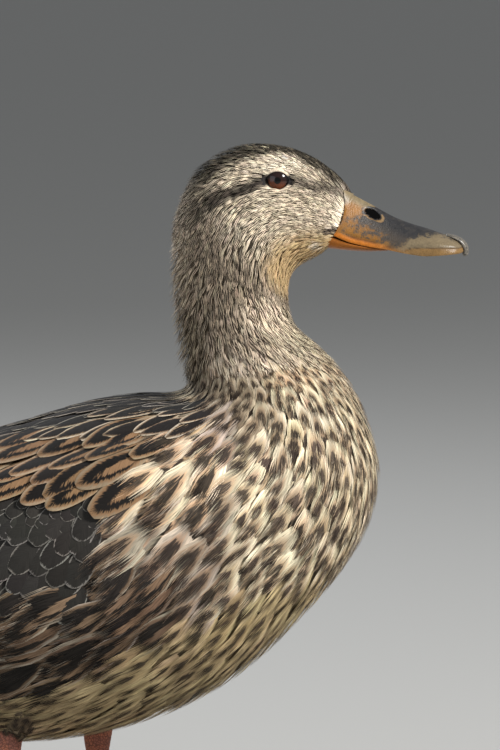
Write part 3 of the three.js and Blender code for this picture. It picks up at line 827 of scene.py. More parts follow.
MARKS = {
    "streak": oval_mark((0.66, 0.0), 0.5, (0.02, 0.7), 0.4, (-0.02, 0.14), (-0.4, 0.0), times=1.0),
    "spot": oval_mark((0.66, 0.1), 0.25, (0.38, 0.4), 1.7, (-0.05, 0.2), (-0.9, 0.0)),
    "blotch": oval_mark((0.62, 0.1), 0.28, (0.38, 0.38), 1.7, (-0.05, 0.16), (-0.7, 0.0)),
    "dash": oval_mark((0.7, 0.0), 0.24, (0.08, 0.5), 1.7, (-0.05, 0.2), (-1.2, -0.2)),
    "lined": oval_mark((0.48, 0.0), 0.48, (0.7, 0.2), 0.7, (-0.04, 0.06), (-0.3, -0.1)),
    "arrow": arrow_mark,
    "edged": edged_mark,
    "barred": barred_mark,
    "speculum": speculum_mark,
}

# --- the coat's tracts ---

# A region of the trunk's coat: the gap between roots across its feathers and how much more it is along them,
# their length and half width, their mark, their strands (none for a smooth vane) and how loose they are, how
# blunt a vane is, how high the tips lie, and how far they turn towards the belly in radians.
Tract = namedtuple(
    "Tract", "gap stretch length half mark strands loose blunt high turn", defaults=(0, 1.0, 3.2, 1.0, 0.0)
)
TRACTS = {
    "breast": Tract(4.8, 1.6, 22, 3.9, "spot", strands=22),
    "belly": Tract(5.0, 1.7, 25, 3.9, "dash", strands=20, loose=0.7, turn=0.05),
    "side": Tract(6.2, 1.6, 28, 5.0, "blotch", strands=26, turn=0.12),
    "shoulder": Tract(6.6, 1.6, 29, 5.4, "blotch", strands=28, turn=0.14, high=1.08),
    "scapular_upper": Tract(5.8, 1.7, 27, 4.3, "lined", blunt=2.0, high=1.06),
    "scapular": Tract(7.6, 1.5, 34, 6.2, "arrow", blunt=2.3, turn=0.16, high=1.12),
    "mantle": Tract(5.0, 1.8, 24, 3.8, "lined", blunt=2.0),
    "covert_small": Tract(3.8, 0.9, 10, 3.0, "edged", turn=0.3, high=0.78),
    "covert": Tract(5.8, 1.0, 21, 4.7, "edged", turn=0.5, high=0.8),
    "flank": Tract(8.0, 1.6, 36, 6.6, "arrow", strands=30, loose=0.8, turn=0.1, high=1.05),
    "rump": Tract(5.8, 1.6, 24, 4.6, "arrow", blunt=2.1, high=0.82),
    "vent": Tract(5.6, 1.6, 26, 5.0, "blotch", strands=24),
}
# Above this line in the side view the belly gives way to the flank and side.
belly_line = curve([-70, -40, 0, 25, 53, 82, 106, 122], [62, 60, 66, 71, 86, 97, 104, 110])
# Feathers are smaller under the neck, as a share of their size.
near_neck = curve([9.0, 10.0, 11.0, 12.4], [0.46, 0.7, 0.92, 1.0])
# The front edge of the scapulars and the wing in the side view: x at heights.
wing_front = curve([100, 106, 124, 137, 147, 172], [27, 28.5, 34.5, 37, 48, 57])
SIDE_DROP = 0.087  # how much lower a place is seen in the side view for each mm nearer, from 5 degrees above
EYE = SimpleNamespace(x=113.1, z=279.3, side=10.3, radius=5.7)
# Half lengths and half heights of the ovals round the eye that are free of feathers' roots and of their tips.
ROOTS_CLEAR, TIPS_CLEAR = (4.85, 3.65), (4.6, 3.5)


def kind_of(t, angle):
    """Which region each place of the trunk belongs to, mostly by where it shows in the side view."""
    x, y, z = np.moveaxis(coat_point(t, angle, 1.0), -1, 0)
    turn = from_back(angle)
    seen = z - SIDE_DROP * np.abs(y)
    behind = np.minimum(x, 0)
    on_wing = x < wing_front(seen)
    choices = [
        ("belly", (turn > 2.75) & (z < 112)),
        ("breast", t < 11.4),
        ("vent", (t > 17.6) & (turn > 1.25)),
        ("mantle", ((turn < 0.42) | (seen > 184.5)) & (t < 16.2)),
        ("rump", (t > 16.4) & (turn < 1.25)),
        ("scapular_upper", (seen > 173.5) & (x < 82)),
        ("scapular", (seen > 147 - behind * 0.1) & on_wing),
        ("covert_small", (seen > 136) & on_wing),
        ("covert", (seen > 103 - behind * 0.3) & on_wing),
        ("belly", seen < belly_line(x)),
        ("flank", x < np.minimum(34 + (124 - seen) * 1.5, 66)),
        ("shoulder", (x < 78 - (176 - seen) * 0.08) & (seen > 135)),
        ("side", x < 88 - (142 - seen) * 0.15),
    ]
    names, places = zip(*choices)
    return np.select(places, names, "breast")


def trunk_colours(t, angle, name, spread=SPREAD):
    """Colours where a tract's feathers show; the breast's run on from the neck's and are patched."""
    colours = named_colours("covert" if name == "covert_small" else name, len(t), spread)
    if name != "breast":
        return colours
    x, _, z = coat_point(t, angle, 1.0).T
    parts = patched(np.stack(colours, 1), x, z, BREAST_PATCHES)
    share = ease((t - 9.4) / 1.4)[:, None]
    return [mix(near, parts[:, k], share) for k, near in enumerate(head_colours(t, angle, spread))]


def colour_trunk(colours, t, angle, where, spread):
    """Fills in the colours of every tract at places of the trunk."""
    kinds = kind_of(t, angle)
    for name in np.unique(kinds):
        chosen = (kinds == name) & where
        colours[:, chosen] = trunk_colours(t[chosen], angle[chosen], name, spread)


def clear_of_eye(t, angle, half_length, half_height):
    x, _, z = coat_point(t, angle, 0.6).T
    return ((x - EYE.x + 0.2) / half_length) ** 2 + ((z - EYE.z) / half_height) ** 2 > 1


def head_coat():
    gap = curve([0, 1.5, 4, 6.5], [0.40, 0.44, 0.50, 0.56])

    def bare(t, angle):
        return clear_of_eye(t, angle, *ROOTS_CLEAR) & (t > bill_edge(np.abs(angle)) + 0.02)

    t, angle = scatter(coat_point, (0.02, HEAD_END), ROUND, gap, inside=bare, stretch=6.5, tries=14)
    length = gap(t) * RNG.uniform(10, 15, len(t))
    for share in (0.4, 0.7, 1.0):
        ahead = move(coat_point, t, angle, length * share, 0)
        clear = clear_of_eye(t + ahead[0], angle + ahead[1], *TIPS_CLEAR)
        t, angle, length = t[clear], angle[clear], length[clear]
    behind = ease((1.3 - np.abs(angle)) / 0.5) * ease((t - 3.6) / 1.5)
    birds = feathers(
        t, angle, length, gap(t) * 0.85, head_colours(t, angle), puff=0.1, fray=0.25,
        lift=0.1 + behind * RNG.uniform(0, 1, len(t)) ** 2 * 2.2,
        turn=(ripple(t, angle, 5, 8) * 0.2 + RNG.normal(0, 0.1, len(t))) * np.sign(angle),
    )
    material = feather_material("head_plumage", "streak", barb=0.25, slant=0.1)
    coat_piece("coat_head", material, "head_plumage", birds, barbed(3))


def neck_coat():
    gap = curve([6.3, 8, 9.2], [0.60, 0.72, 0.9])
    reach = (HEAD_END - 0.05, COLLAR + 0.2)
    t, angle = scatter(coat_point, reach, ROUND, gap, stretch=4.5, tries=14, flow=NECK_FLOW)
    length = gap(t) * RNG.uniform(8, 12, len(t))
    behind = ease((1.2 - np.abs(angle)) / 0.5) * np.interp(t, [6.3, 7.5, 8.6], [1.0, 1.2, 2.2])
    birds = feathers(
        t, angle, length, gap(t) * 0.85, head_colours(t, angle), puff=0.2, fray=0.3, stray=0.12,
        lift=behind * RNG.uniform(0, 1, len(t)) ** 1.5 * 2.6 + RNG.uniform(0, 0.4, len(t)),
        turn=(ripple(t, angle, 9, 12) * 0.25 + RNG.normal(0, 0.14, len(t))) * np.sign(angle),
    )
    material = feather_material("neck_plumage", "streak", slant=0.1)
    coat_piece("coat_neck", material, "head_plumage", birds, barbed(4))


def under_coat():
    """Short feathers under the others, so that no skin shows where two regions meet."""
    reach = (COLLAR - 0.2, TAIL_END - 0.1)
    t, angle = scatter(coat_point, reach, ROUND, lambda t: np.full_like(t, 5.0), stretch=1.4)
    length = 17 * np.interp(t, [9, 12], [0.8, 1.0])
    ahead = move(coat_point, t, angle, length * 0.75, 0)
    end_t, end_angle = t + ahead[0], angle + ahead[1]
    colours = np.zeros((len(COLOURS), len(t), 3))
    colour_trunk(colours, end_t, end_angle, True, SPREAD)
    colours[0] = mix(colours[0], colours[1], 0.45)
    birds = feathers(t, angle, length, 4.6, colours, high=0.5, fray=0.2, puff=0.1, stray=0.2)
    material = feather_material("under_plumage", "spot", barb=0.5, slant=0.12, streak=1.0)
    coat_piece("coat_under", material, "body_plumage", birds, barbed(8, spread=1.5))


def visible_end(t, angle, tract):
    """Where the part of a feather that the next ones leave bare lies, for roots in a tract."""
    reach = (tract.length - tract.gap * tract.stretch / 2) / 3 * near_neck(t)
    for _ in range(3):
        aside = reach * math.sin(tract.turn) * np.sign(angle)
        ahead = move(coat_point, t, angle, reach * math.cos(tract.turn), aside)
        t, angle = np.clip(t + ahead[0], 0, TAIL_END), angle + ahead[1]
    return t, angle


def trunk_coat():
    for name, tract in TRACTS.items():

        def gap(t):
            return tract.gap * near_neck(t)

        def inside(t, angle):
            return kind_of(*visible_end(t, angle, tract)) == name

        reach = (COLLAR, TAIL_END - 0.1)
        t, angle = scatter(coat_point, reach, ROUND, gap, inside, stretch=tract.stretch, tries=12)
        size = near_neck(t) * RNG.uniform(0.85, 1.15, len(t))
        colours = trunk_colours(*visible_end(t, angle, tract), name)
        loose = tract.loose if tract.strands else 0.0
        birds = feathers(
            t, angle, size * tract.length, size * tract.half, colours, high=tract.high,
            low=0.1 if loose else 0.2, fray=0.03 + 0.27 * loose, puff=0.2 * loose, stray=0.35 * loose,
            turn=(tract.turn + RNG.normal(0, 0.1, len(t))) * np.sign(angle),
        )
        shape = barbed(tract.strands, (0, 0.3, 0.6, 0.82, 1)) if loose else vane(14, 7, tract.blunt)
        barb, slant = (0.7, 0.12) if loose else (0.4, 0.9)
        material = feather_material(f"{name}_plumage", tract.mark, barb, slant, streak=0.45 + 0.65 * loose)
        slot = "wing_plumage" if name.startswith("covert") else "body_plumage"
        nodes = ("wing_right", "wing_left") if name == "covert" else ()
        coat_piece(f"coat_{name}", material, slot, birds, shape, nodes=nodes)


def thigh_coat():
    def gap(t):
        return mix(5.0, 2.6, t / 2)

    material = feather_material("thigh_plumage", "spot", barb=0.45)
    for name in SIDES:
        place = thigh_point(name)
        t, angle = scatter(place, (0.9, 1.85), (0, 2 * np.pi), gap)
        length = gap(t) * 2.8
        colours = named_colours("thigh", len(t))
        birds = feathers(t, angle, length, length * 0.22, colours, low=0.2, fray=0.12, puff=0.18)
        coat_piece(f"coat_thigh_{name}", material, "body_plumage", birds, barbed(8), place)


# --- wing and tail ---


def wing_quills():
    """Tertials and secondaries lie on the wing's own swelling, on both sides in one piece each."""
    long_vane = vane(16, 9, blunt=3.4, camber=0.35)
    dark = feather_material("tertial_plumage", "edged", barb=0.5, slant=1.3)
    glossy = feather_material("speculum_plumage", "speculum", barb=0.5, slant=1.3, roughness=0.35)
    for name, side in SIDES.items():
        birds = feathers(
            np.linspace(15.0, 15.7, 5), np.linspace(0.5, 0.95, 5) * side,
            np.linspace(64, 74, 5), np.linspace(7.5, 9.5, 5), named_colours("flight", 5),
            low=0.75, high=np.linspace(1.34, 1.16, 5), turn=-0.05 * side, bend=-0.12 * side,
        )
        coat_piece(f"tertials_{name}", dark, "wing_plumage", birds, long_vane)
        birds = feathers(
            np.linspace(15.5, 16.1, 9), np.linspace(1.05, 1.42, 9) * side,
            56.0, 6.5, named_colours("speculum", 9, 0.05),
            low=0.7, high=np.linspace(1.1, 1.0, 9), turn=0.02 * side, bend=-0.2 * side,
        )
        coat_piece(f"secondaries_{name}", glossy, "wing_plumage", birds, long_vane)


def wing_tips():
    dark = feather_material("primary_plumage", "edged", barb=0.5, slant=1.5)
    shape = vane(20, 7, blunt=2.4, camber=0.2)
    order = np.arange(8) / 7
    for name, side in SIDES.items():
        birds = feathers(
            0 * order, mix(5.0, -5.0, order), mix(116.0, 62.0, order), mix(7.5, 9.0, order),
            named_colours("flight", 8, 0.06), low=mix(0.1, 0.9, order), high=mix(0.1, 0.95, order),
        )
        place = wing_tip_point(side)
        coat_piece(f"primaries_{name}", dark, "wing_plumage", birds, shape, place, (f"wing_tip_{name}",))


def tail():
    material = feather_material("tail_plumage", "barred", barb=0.5, slant=1.4)
    count = 18
    across = np.linspace(-0.93, 0.93, count)
    inner = 1 - np.abs(across)
    birds = feathers(
        np.zeros(count), across, mix(56.0, 65.0, inner), 6.4, named_colours("tail", count, 0.08),
        low=mix(0.0, 0.7, inner), high=mix(0.1, 0.9, inner),
    )
    shape = vane(18, 9, blunt=3.6, camber=0.25)
    coat_piece("tail_feathers", material, "tail_plumage", birds, shape, tail_point, ("tail",))


# --- bill ---

# Top x and z, bottom x and z, half width, and how arched the section is.
BILL_UPPER = np.array([
    (144.0, 272.6, 135.6, 256.1, 9.7, 1.25),
    (150.8, 269.0, 142.2, 253.3, 9.5, 1.3),
    (156.2, 266.0, 149.6, 251.6, 9.3, 1.4),
    (161.6, 263.2, 157.0, 250.5, 9.3, 1.55),
    (168.0, 260.8, 165.0, 248.9, 9.8, 1.75),
    (174.4, 258.9, 172.4, 247.9, 10.5, 1.95),
    (180.4, 256.8, 179.2, 248.2, 10.7, 2.1),
    (185.4, 254.8, 184.8, 248.7, 9.2, 2.2),
    (188.0, 252.9, 187.6, 249.0, 6.2, 2.2),
    (189.0, 251.3, 188.7, 249.3, 2.8, 2.1),
])
BILL_LOWER = np.array([
    (134.6, 256.3, 133.6, 250.9, 9.0, 2.4),
    (142.0, 253.5, 141.2, 250.1, 9.2, 2.4),
    (150.0, 251.8, 149.8, 249.6, 9.1, 2.4),
    (158.0, 250.7, 158.0, 249.9, 8.2, 2.4),
])
# The nail's middle line (x, z), with its half width and its thickness.
NAIL = np.array([
    (181.5, 256.6, 1.6, 0.8),
    (185.6, 255.3, 3.3, 1.6),
    (188.3, 253.5, 3.5, 2.3),
    (189.8, 250.7, 3.0, 2.8),
    (189.6, 247.4, 1.6, 2.2),
])
NAIL_SAG = 0.4
NOSTRIL = SimpleNamespace(x=151.9, z=265.0, half_length=3.9, half_height=1.75, slope=-0.5, depth=1.5)
# Above the mouth's line on the bill's side: the lip's crease, and the groove along the tip, in mm at x.
lip_height = curve([134, 142, 150, 158, 163, 168], [2.4, 2.9, 2.8, 1.9, 1.3, 0.6])
groove_height = curve([163, 168, 172, 180, 187], [1.4, 3.2, 3.9, 3.6, 2.6])
# How far the dark saddle hangs down from the ridge at x, and where it begins at depths below the ridge.
saddle_depth = curve([144, 150, 158, 163, 165, 167, 172, 176, 180], [12, 13, 12.5, 10.5, 9, 6.2, 3.7, 2, 0.3])
saddle_rear = curve([0, 3, 8, 14], [153, 149.5, 145.5, 143.5])
# The feathers' edge on the face: stations from the bill's root, at angles from the middle of the forehead.
bill_edge = curve([0, 0.25, 0.6, 0.8, 0.93, 1.3, 1.75], [0.0, 0.12, 0.5, 0.38, 0.25, 0.1, 0.0])
BILL_TINTS = paints(
    root=(225, 100, 18),
    ridge=(170, 130, 72),
    tip=(150, 115, 68),
    lip=(370, 115, 10),
    lip_tip=(170, 98, 34),
    # painted shade for the bill's creases and the mouth's line, and for the lower bill's front
    crease=(35, 20, 12),
    saddle=(14, 14, 15.5),
    saddle_tip=(20, 20, 22),
    worn=(60, 47, 36),
)
# Heights at x of the upper bill's ridge and of its lower edge.
ridge_line, mouth_line = curve(*BILL_UPPER[:, :2].T), curve(*BILL_UPPER[:, 2:4].T)
NO_NOSTRIL = 9.0  # how far from the nostril's middle the parts without one count as


def bump_at(value, width):
    """A ridge's height across it, 1 in its middle."""
    return np.exp(-((value / width) ** 2))


def bill_section(stations, t, angle, floor):
    """A bill half's surface: a flat floor under an arch."""
    top_x, top_z, low_x, low_z, half, arch = np.moveaxis(spline(stations, t), -1, 0)
    up = np.cos(angle)
    above = np.clip(up, 0, 1)
    level = mix(floor, 1, above ** (1 / arch) * 0.5 + above * 0.5)
    level = np.where(up > 0, level, floor * (1 + power(up, 0.8)))
    y = -power(np.sin(angle), 2 / 2.4) * half * (1 - 0.5 * above**arch)
    return np.stack([mix(low_x, top_x, level), y, mix(low_z, top_z, level)], -1)


def nostril_form(x, z):
    """The nostril's hollow and low rim, as a move inwards in mm, and how far from its middle places are."""
    cos, sin = math.cos(NOSTRIL.slope), math.sin(NOSTRIL.slope)
    along = ((x - NOSTRIL.x) * cos + (z - NOSTRIL.z) * sin) / NOSTRIL.half_length
    across = (-(x - NOSTRIL.x) * sin + (z - NOSTRIL.z) * cos) / NOSTRIL.half_height
    away = np.hypot(along, across)
    hole = NOSTRIL.depth * (1 - ease((away - 0.75) / 0.35))
    dish = 0.12 * (1 - ease((away - 1.0) / 1.2))
    return hole + dish - 0.05 * bump_at(away - 1.4, 0.3), away


def face_rows(angle, count):
    """The bill's root on the face, from the feathers' edge forward."""
    signed = (angle + np.pi) % (2 * np.pi) - np.pi
    face = np.sign(signed) * np.minimum(np.abs(signed), 1.72) * 1.14
    share = np.linspace(1.0, 0.12, count)[:, None]
    t = bill_edge(np.abs(face)) * share + 0.02
    return body_point(t, face + 0 * share, mix(0.0, -0.45, share))


def upper_bill_mesh():
    """Points of the upper bill, and how far each is from the nostril's middle."""
    t, angle = net((0, len(BILL_UPPER) - 1), 190, 132)
    points = bill_section(BILL_UPPER, t, angle, 0.04)
    x, _, z = np.moveaxis(points, -1, 0)
    above_mouth = z - mouth_line(x)
    top_side = np.cos(angle) > -0.05
    inwards, away = nostril_form(x, z)
    crease = 0.55 * bump_at(above_mouth - lip_height(x), 0.35) * ease((168 - x) / 4)
    groove = 0.4 * bump_at(above_mouth - groove_height(x), 0.5) * ease((x - 163) / 5)
    groove = groove * ease((188 - x) / 4)
    swell = 0.35 * bump_at(above_mouth - 0.5 * lip_height(x), 0.9) * ease((x - 134) / 6)
    push = np.where(top_side, inwards + crease + groove - swell, 0) * np.abs(np.sin(angle)) ** 0.7
    points[..., 1] += power(np.sin(angle), 0.4) * push
    base = face_rows(angle[0], 8)
    base_away = np.full(base.shape[:2], NO_NOSTRIL)
    return np.concatenate([base, points]), np.concatenate([base_away, np.where(top_side, away, NO_NOSTRIL)])


def tinted(tint, name, share):
    return mix(tint, BILL_TINTS[name], share[..., None])


def bill_colours(points):
    """Tint, shade and how dark the saddle is, at places on the bill."""
    x, _, z = np.moveaxis(points, -1, 0)
    below = ridge_line(x) - z
    above_mouth = z - mouth_line(x)
    hanging = (saddle_depth(x) - below) / 2.6
    saddle = np.minimum(hanging, (x - saddle_rear(below)) / 2.2).clip(-1, 1)
    saddle = saddle * (1 - 0.75 * ease((161 - x) / 5) * ease((below - 6.5) / 2.5))
    forward = ease((x - 152) / 16)
    tint = tinted(BILL_TINTS["root"], "tip", forward)
    tint = tinted(tint, "ridge", ease((4.5 - below) / 3) * ease((157 - x) / 6))
    height = np.where(x < 165, lip_height(x), groove_height(x) * 0.9)
    on_lip = ease((height - above_mouth) / 0.5 + 0.5)
    tint = mix(tint, tinted(BILL_TINTS["lip"], "lip_tip", ease((x - 148) / 20)), on_lip[..., None])
    # painted shade: a dark line along the lip's crease and the tip's groove, and along the mouth's line where
    # the bills meet
    line = bump_at(above_mouth - height, 0.28) * ease((x - 136) / 3) + bump_at(above_mouth, 0.25)
    tint = tinted(tint, "crease", 0.7 * line.clip(0, 1))
    shade = tinted(BILL_TINTS["saddle"], "saddle_tip", forward)
    return tint, tinted(shade, "worn", 0.8 * ease((below - 4) / 5)), mix(saddle, -1, on_lip)


def bill_material():
    """Satin horn: orange and tan, with a mottled blue-black saddle."""
    material, shader = new_material("bill", 0.38, specular=0.32)
    place = place_in_mm(material)
    coarse, fine = noise(place, 0.5, 4.0), noise(place, 2.4, 3.0)
    saddle = parts_of(attribute(material, "saddle", "Vector"))[0]
    dark = between(saddle + (coarse - 0.5) * 2.4 + (fine - 0.5) * 1.6, -0.4, 0.4)
    bloom = blend(between(coarse, 0.4, 0.8), attribute(material, "shade"), (0.030, 0.027, 0.024))
    light = (fine - 0.5) + 1.0 + (coarse - 0.5) * 0.8
    paint(shader, brighten(blend(dark, attribute(material, "tint"), bloom), light), coarse + fine, 0.35)
    return material


def paint_bill(obj, tint, shade, saddle):
    set_colours(obj, tint=tint, shade=shade)
    set_vector(obj, "saddle", np.repeat(saddle.ravel(), 3))


def bill():
    material = bill_material()
    points, away = upper_bill_mesh()
    rows, columns = away.shape
    faces = closed_faces(rows, columns)
    faces.pop(-2)  # the root stays open on the face
    obj = new_object("bill_upper_horn", points, faces)
    tint, shade, saddle = bill_colours(points)
    rim = ease((away - 0.9) / 0.2) * (1 - ease((away - 1.25) / 0.3))
    pale = rim * ease((NOSTRIL.z + 0.6 - points[..., 2]) / 1.2) * 0.6
    paint_bill(obj, tinted(tint, "ridge", pale), shade, mix(mix(saddle, 0.6, rim * 0.6), -1, pale))
    dress(obj, material, "bill", "bill_upper")
    # painted shade: the nostril's hollow gets a flat near-black material without gloss, for the dark inside
    # the opening
    obj.data.materials.append(new_material("nostril", 1.0, specular=0.0, colour=(0.003, 0.003, 0.003))[0])
    inside = away.ravel() < 0.98
    for face in obj.data.polygons:
        face.material_index = int(all(inside[i] for i in face.vertices))
    lower_bill(material)
    nail()


def lower_bill(material):
    t, angle = net((-0.05, 3), 60, 64)
    points = bill_section(BILL_LOWER, t, angle, 0.95)
    obj = tube_object("bill_lower_horn", points, material, "bill", "bill_lower")
    # painted shade: the lower bill darkens towards its front, where it lies under the upper bill
    tint = tinted(BILL_TINTS["lip"] * 0.8, "crease", 0.5 * ease((t - 0.2) / 3))
    paint_bill(obj, tint, tint * 0.5, np.full(t.shape, -1.5))


def nail():
    """The small hooked plate over the bill's tip."""
    last = len(NAIL) - 1
    t, angle = net((0, last), 48, 40)
    x, z, half, thick = np.moveaxis(spline(NAIL, t), -1, 0)
    heading = unit((spline(NAIL, t + 0.02) - spline(NAIL, t - 0.02))[..., :2])
    end = np.sqrt(ease(0.2 + t * 3) * ease(0.15 + (last - t) * 3))
    out = thick / 2 * end * power(np.sin(angle), 0.8) - NAIL_SAG * np.cos(angle) ** 2
    x, y, z = x - heading[..., 1] * out, half * end * np.cos(angle), z + heading[..., 0] * out
    material, shader = new_material("bill_nail", 0.35)
    speckle = between(noise(place_in_mm(material), 1.4, 3.0), 0.35, 0.7)
    paint(shader, blend(speckle, (0.05, 0.047, 0.042), (0.17, 0.15, 0.12)))
    tube_object("bill_nail_horn", np.stack([x, y, z], -1), material, "bill_nail", "bill_nail")


# --- eyes ---

# The lids' loops: half length, half height, how pointed the corners are, how far off the eyeball, and how far
# towards the face's surface.
LID_LOOPS = [
    (4.5, 3.45, 1.05, -0.3, 0.0),
    (4.62, 3.55, 1.1, 0.1, 0.0),
    (4.8, 3.66, 1.25, 0.15, 0.1),
    (5.05, 3.82, 1.3, 0.0, 0.6),
    (5.5, 4.2, 1.3, 0.0, 1.0),
    (6.8, 5.2, 1.1, 0.0, 1.0),
]
LID_TINT = np.array([0.010, 0.008, 0.007])


def eyes():
    ball_material, lid_material = eye_material(), eyelid_material()
    for name, side in SIDES.items():
        eyeball(name, -side, ball_material)
        eyelids(name, -side, lid_material)


def eye_material():
    """A wet eye: black pupil, dark reddish brown iris with fine spokes, lighter below a painted shadow of the
    upper lid, and a black rim.
    """
    material, shader = new_material("eye", 0.14, specular=0.3)
    x, z, _ = parts_of(attribute(material, "gaze", "Vector"))
    away = calc("SQRT", x * x + z * z)
    spokes = noise(joined(calc("ARCTAN2", z, x) * 7.0, away * 0.7, 0.0), 1.0, 3.0)
    # painted shadow: the upper lid's shade darkens the iris's top, and its lower part is lighter
    iris = blend(between(z + x * 0.25, 1.2, -2.4), (0.016, 0.008, 0.007), (0.115, 0.032, 0.011))
    iris = brighten(iris, spokes * 1.5 + 0.25)
    with_rim = blend(between(away, 3.3, 4.0), iris, (0.005, 0.004, 0.004))
    paint(shader, blend(between(away, 1.55, 1.2), with_rim, (0.002, 0.002, 0.002)))
    return material


def eyelid_material():
    material, shader = new_material("eyelid", 0.7, specular=0.2)
    grain = noise(place_in_mm(material), 2.2, 3.0)
    paint(shader, brighten(attribute(material, "tint"), grain * 1.6 + 0.2), grain)
    return material


def eyeball(name, side, material):
    turn, angle = net((0, np.pi), 48, 64)
    across = np.sin(turn) * EYE.radius
    x, z = across * np.cos(angle), across * np.sin(angle)
    y = side * (EYE.side + np.cos(turn) * EYE.radius)
    points = np.stack([EYE.x + x, y, EYE.z + z], -1)
    obj = new_object(f"eyeball_{name}", points, grid_faces(*turn.shape, wrap=True))
    set_vector(obj, "gaze", np.stack([x, z, 0 * x], -1))
    dress(obj, material, "eye", f"eye_{name}")


def on_eyeball(x, z, off):
    """How far from the body's middle a place off mm outside the eyeball is, at (x, z) from its centre."""
    return EYE.side + np.sqrt(np.maximum((EYE.radius + off) ** 2 - x**2 - z**2, 0))


def face_side(x, z):
    """How far the face reaches from the middle at (x, z), by the four nearest of many places."""
    t, angle = (v.ravel() for v in np.meshgrid(np.linspace(0.3, HEAD_END, 160), np.linspace(0.1, 2.2, 160)))
    points = coat_point(t, angle, 0.3)
    away = np.hypot(x[:, None] - points[:, 0], z[:, None] - points[:, 2])
    near = np.argsort(away, axis=1)[:, :4]
    weights = 1 / (np.take_along_axis(away, near, 1) + 0.05)
    return (np.abs(points[near, 1]) * weights).sum(1) / weights.sum(1)


def eyelids(name, side, material):
    """A rounded dark rim that follows the eyeball, with pointed corners, and runs out under the feathers."""
    columns = 72
    angle = np.linspace(0, 2 * np.pi, columns, endpoint=False)
    rows, tints = [], []
    for half_length, half_height, pointed, off, out in LID_LOOPS:
        x = half_length * np.cos(angle)
        z = half_height * power(np.sin(angle), pointed)
        level = mix(on_eyeball(x, z, off), face_side(EYE.x + x, EYE.z + z), out)
        if out:
            level = np.maximum(level, on_eyeball(x, z, 0.1))
        rows.append(np.stack([EYE.x + x, side * level, EYE.z + z], -1))
        feathered = out * ease((np.abs(np.sin(angle)) - 0.45) / 0.3)
        tints.append(mix(LID_TINT, PLUMAGE["brow"][2], feathered[:, None]))
    obj = new_object(f"eyelids_{name}", rows, grid_faces(len(rows), columns, wrap=True))
    set_colours(obj, tint=np.array(tints))
    dress(obj, material, "head_plumage")


# --- legs and feet ---

TOES = np.array([(-27.0, 41.0), (0.0, 52.0), (26.0, 50.0)])  # inner, middle and outer: degrees and length
TOE = SimpleNamespace(root=3.4, tip=2.1, knuckles=0.12, back=2.0, spread=3.4)
WEB = SimpleNamespace(thick=1.5, scallop=0.15, edge=0.06)
CLAW = SimpleNamespace(length=7.0, radius=1.5, tip=0.35, lift=0.7)
HALLUX = SimpleNamespace(height=9.0, length=12.0, radius=2.0)


def legs():
    skin_of_leg, horn = leg_material(), claw_material()
    for name in SIDES:
        shank(name, skin_of_leg)
        foot(name, skin_of_leg)
        hallux(name, skin_of_leg)
        for toe, finger in zip(TOES, ("inner", "middle", "outer")):
            claw(name, toe, finger, horn)


def leg_material():
    """Dull orange-red skin under small dark-edged scales."""
    material, shader = new_material("leg_skin", 0.6, specular=0.3)
    place = place_in_mm(material)
    size = {"Vector": place, "Scale": 0.9}
    scale = between(node(place.tree, "TexVoronoi", size, "Distance", feature="DISTANCE_TO_EDGE"), 0.0, 0.16)
    patches = between(noise(place, 0.16, 3.0), 0.38, 0.62)
    colour = blend(patches, (0.40, 0.135, 0.072), (0.27, 0.10, 0.068))
    paint(shader, blend(scale, (0.11, 0.042, 0.028), colour), scale, depth=0.25)
    return material


def claw_material():
    material, shader = new_material("claw", 0.4)
    grain = noise(place_in_mm(material), 1.2, 3.0)
    paint(shader, blend(grain, (0.012, 0.009, 0.008), (0.05, 0.036, 0.026)))
    return material


def shank(name, material):
    _, _, ankle, foot_joint = leg_points(name)
    line = [ankle + SHIN.above] + [mix(ankle, foot_joint, share) for share in (0, 0.35, 0.7, 1)]
    radii = [SHIN.half, LEG.ankle_half, LEG.shank_half * 1.08, LEG.shank_half, LEG.shank_half * 1.3]
    t, angle = net((0, 4), 90, 40)
    front = np.clip(np.cos(angle - np.pi / 2) * 0.5 + 0.5, 0, 1) ** 2
    plates = 0.14 * np.abs(np.sin(t * 17)) ** 0.5 * front
    points = limb_point(line, radii, t, angle, plates - 0.1, LEG.flatness)
    tube_object(f"shank_skin_{name}", points, material, "leg_skin", f"shank_{name}")


def hallux(name, material):
    side, _, _, joint = leg_points(name)
    root = np.array([joint[0] - LEG.shank_half, joint[1] - side * 1.5, HALLUX.height])
    end = np.array([root[0] - HALLUX.length, root[1] - side * 2.5, HALLUX.radius * 0.2])
    line = [root, (root + end) / 2 + (-1, 0, 1), end]
    radii = [HALLUX.radius, HALLUX.radius * 0.95, HALLUX.radius * 0.4]
    points = limb_point(line, radii, *net((0, 2), 24, 20))
    points[..., 2] = np.maximum(points[..., 2], 0)
    tube_object(f"hallux_skin_{name}", points, material, "leg_skin", f"hallux_{name}")


def toe_place(angle, ahead, aside):
    """A place in the foot's own plane, ahead mm along a toe at an angle and aside mm beside its middle."""
    cos, sin = np.cos(angle), np.sin(angle)
    y = angle * 2 * TOE.spread + sin * ahead + cos * aside
    return np.stack([-TOE.back + cos * ahead - sin * aside, y], -1)


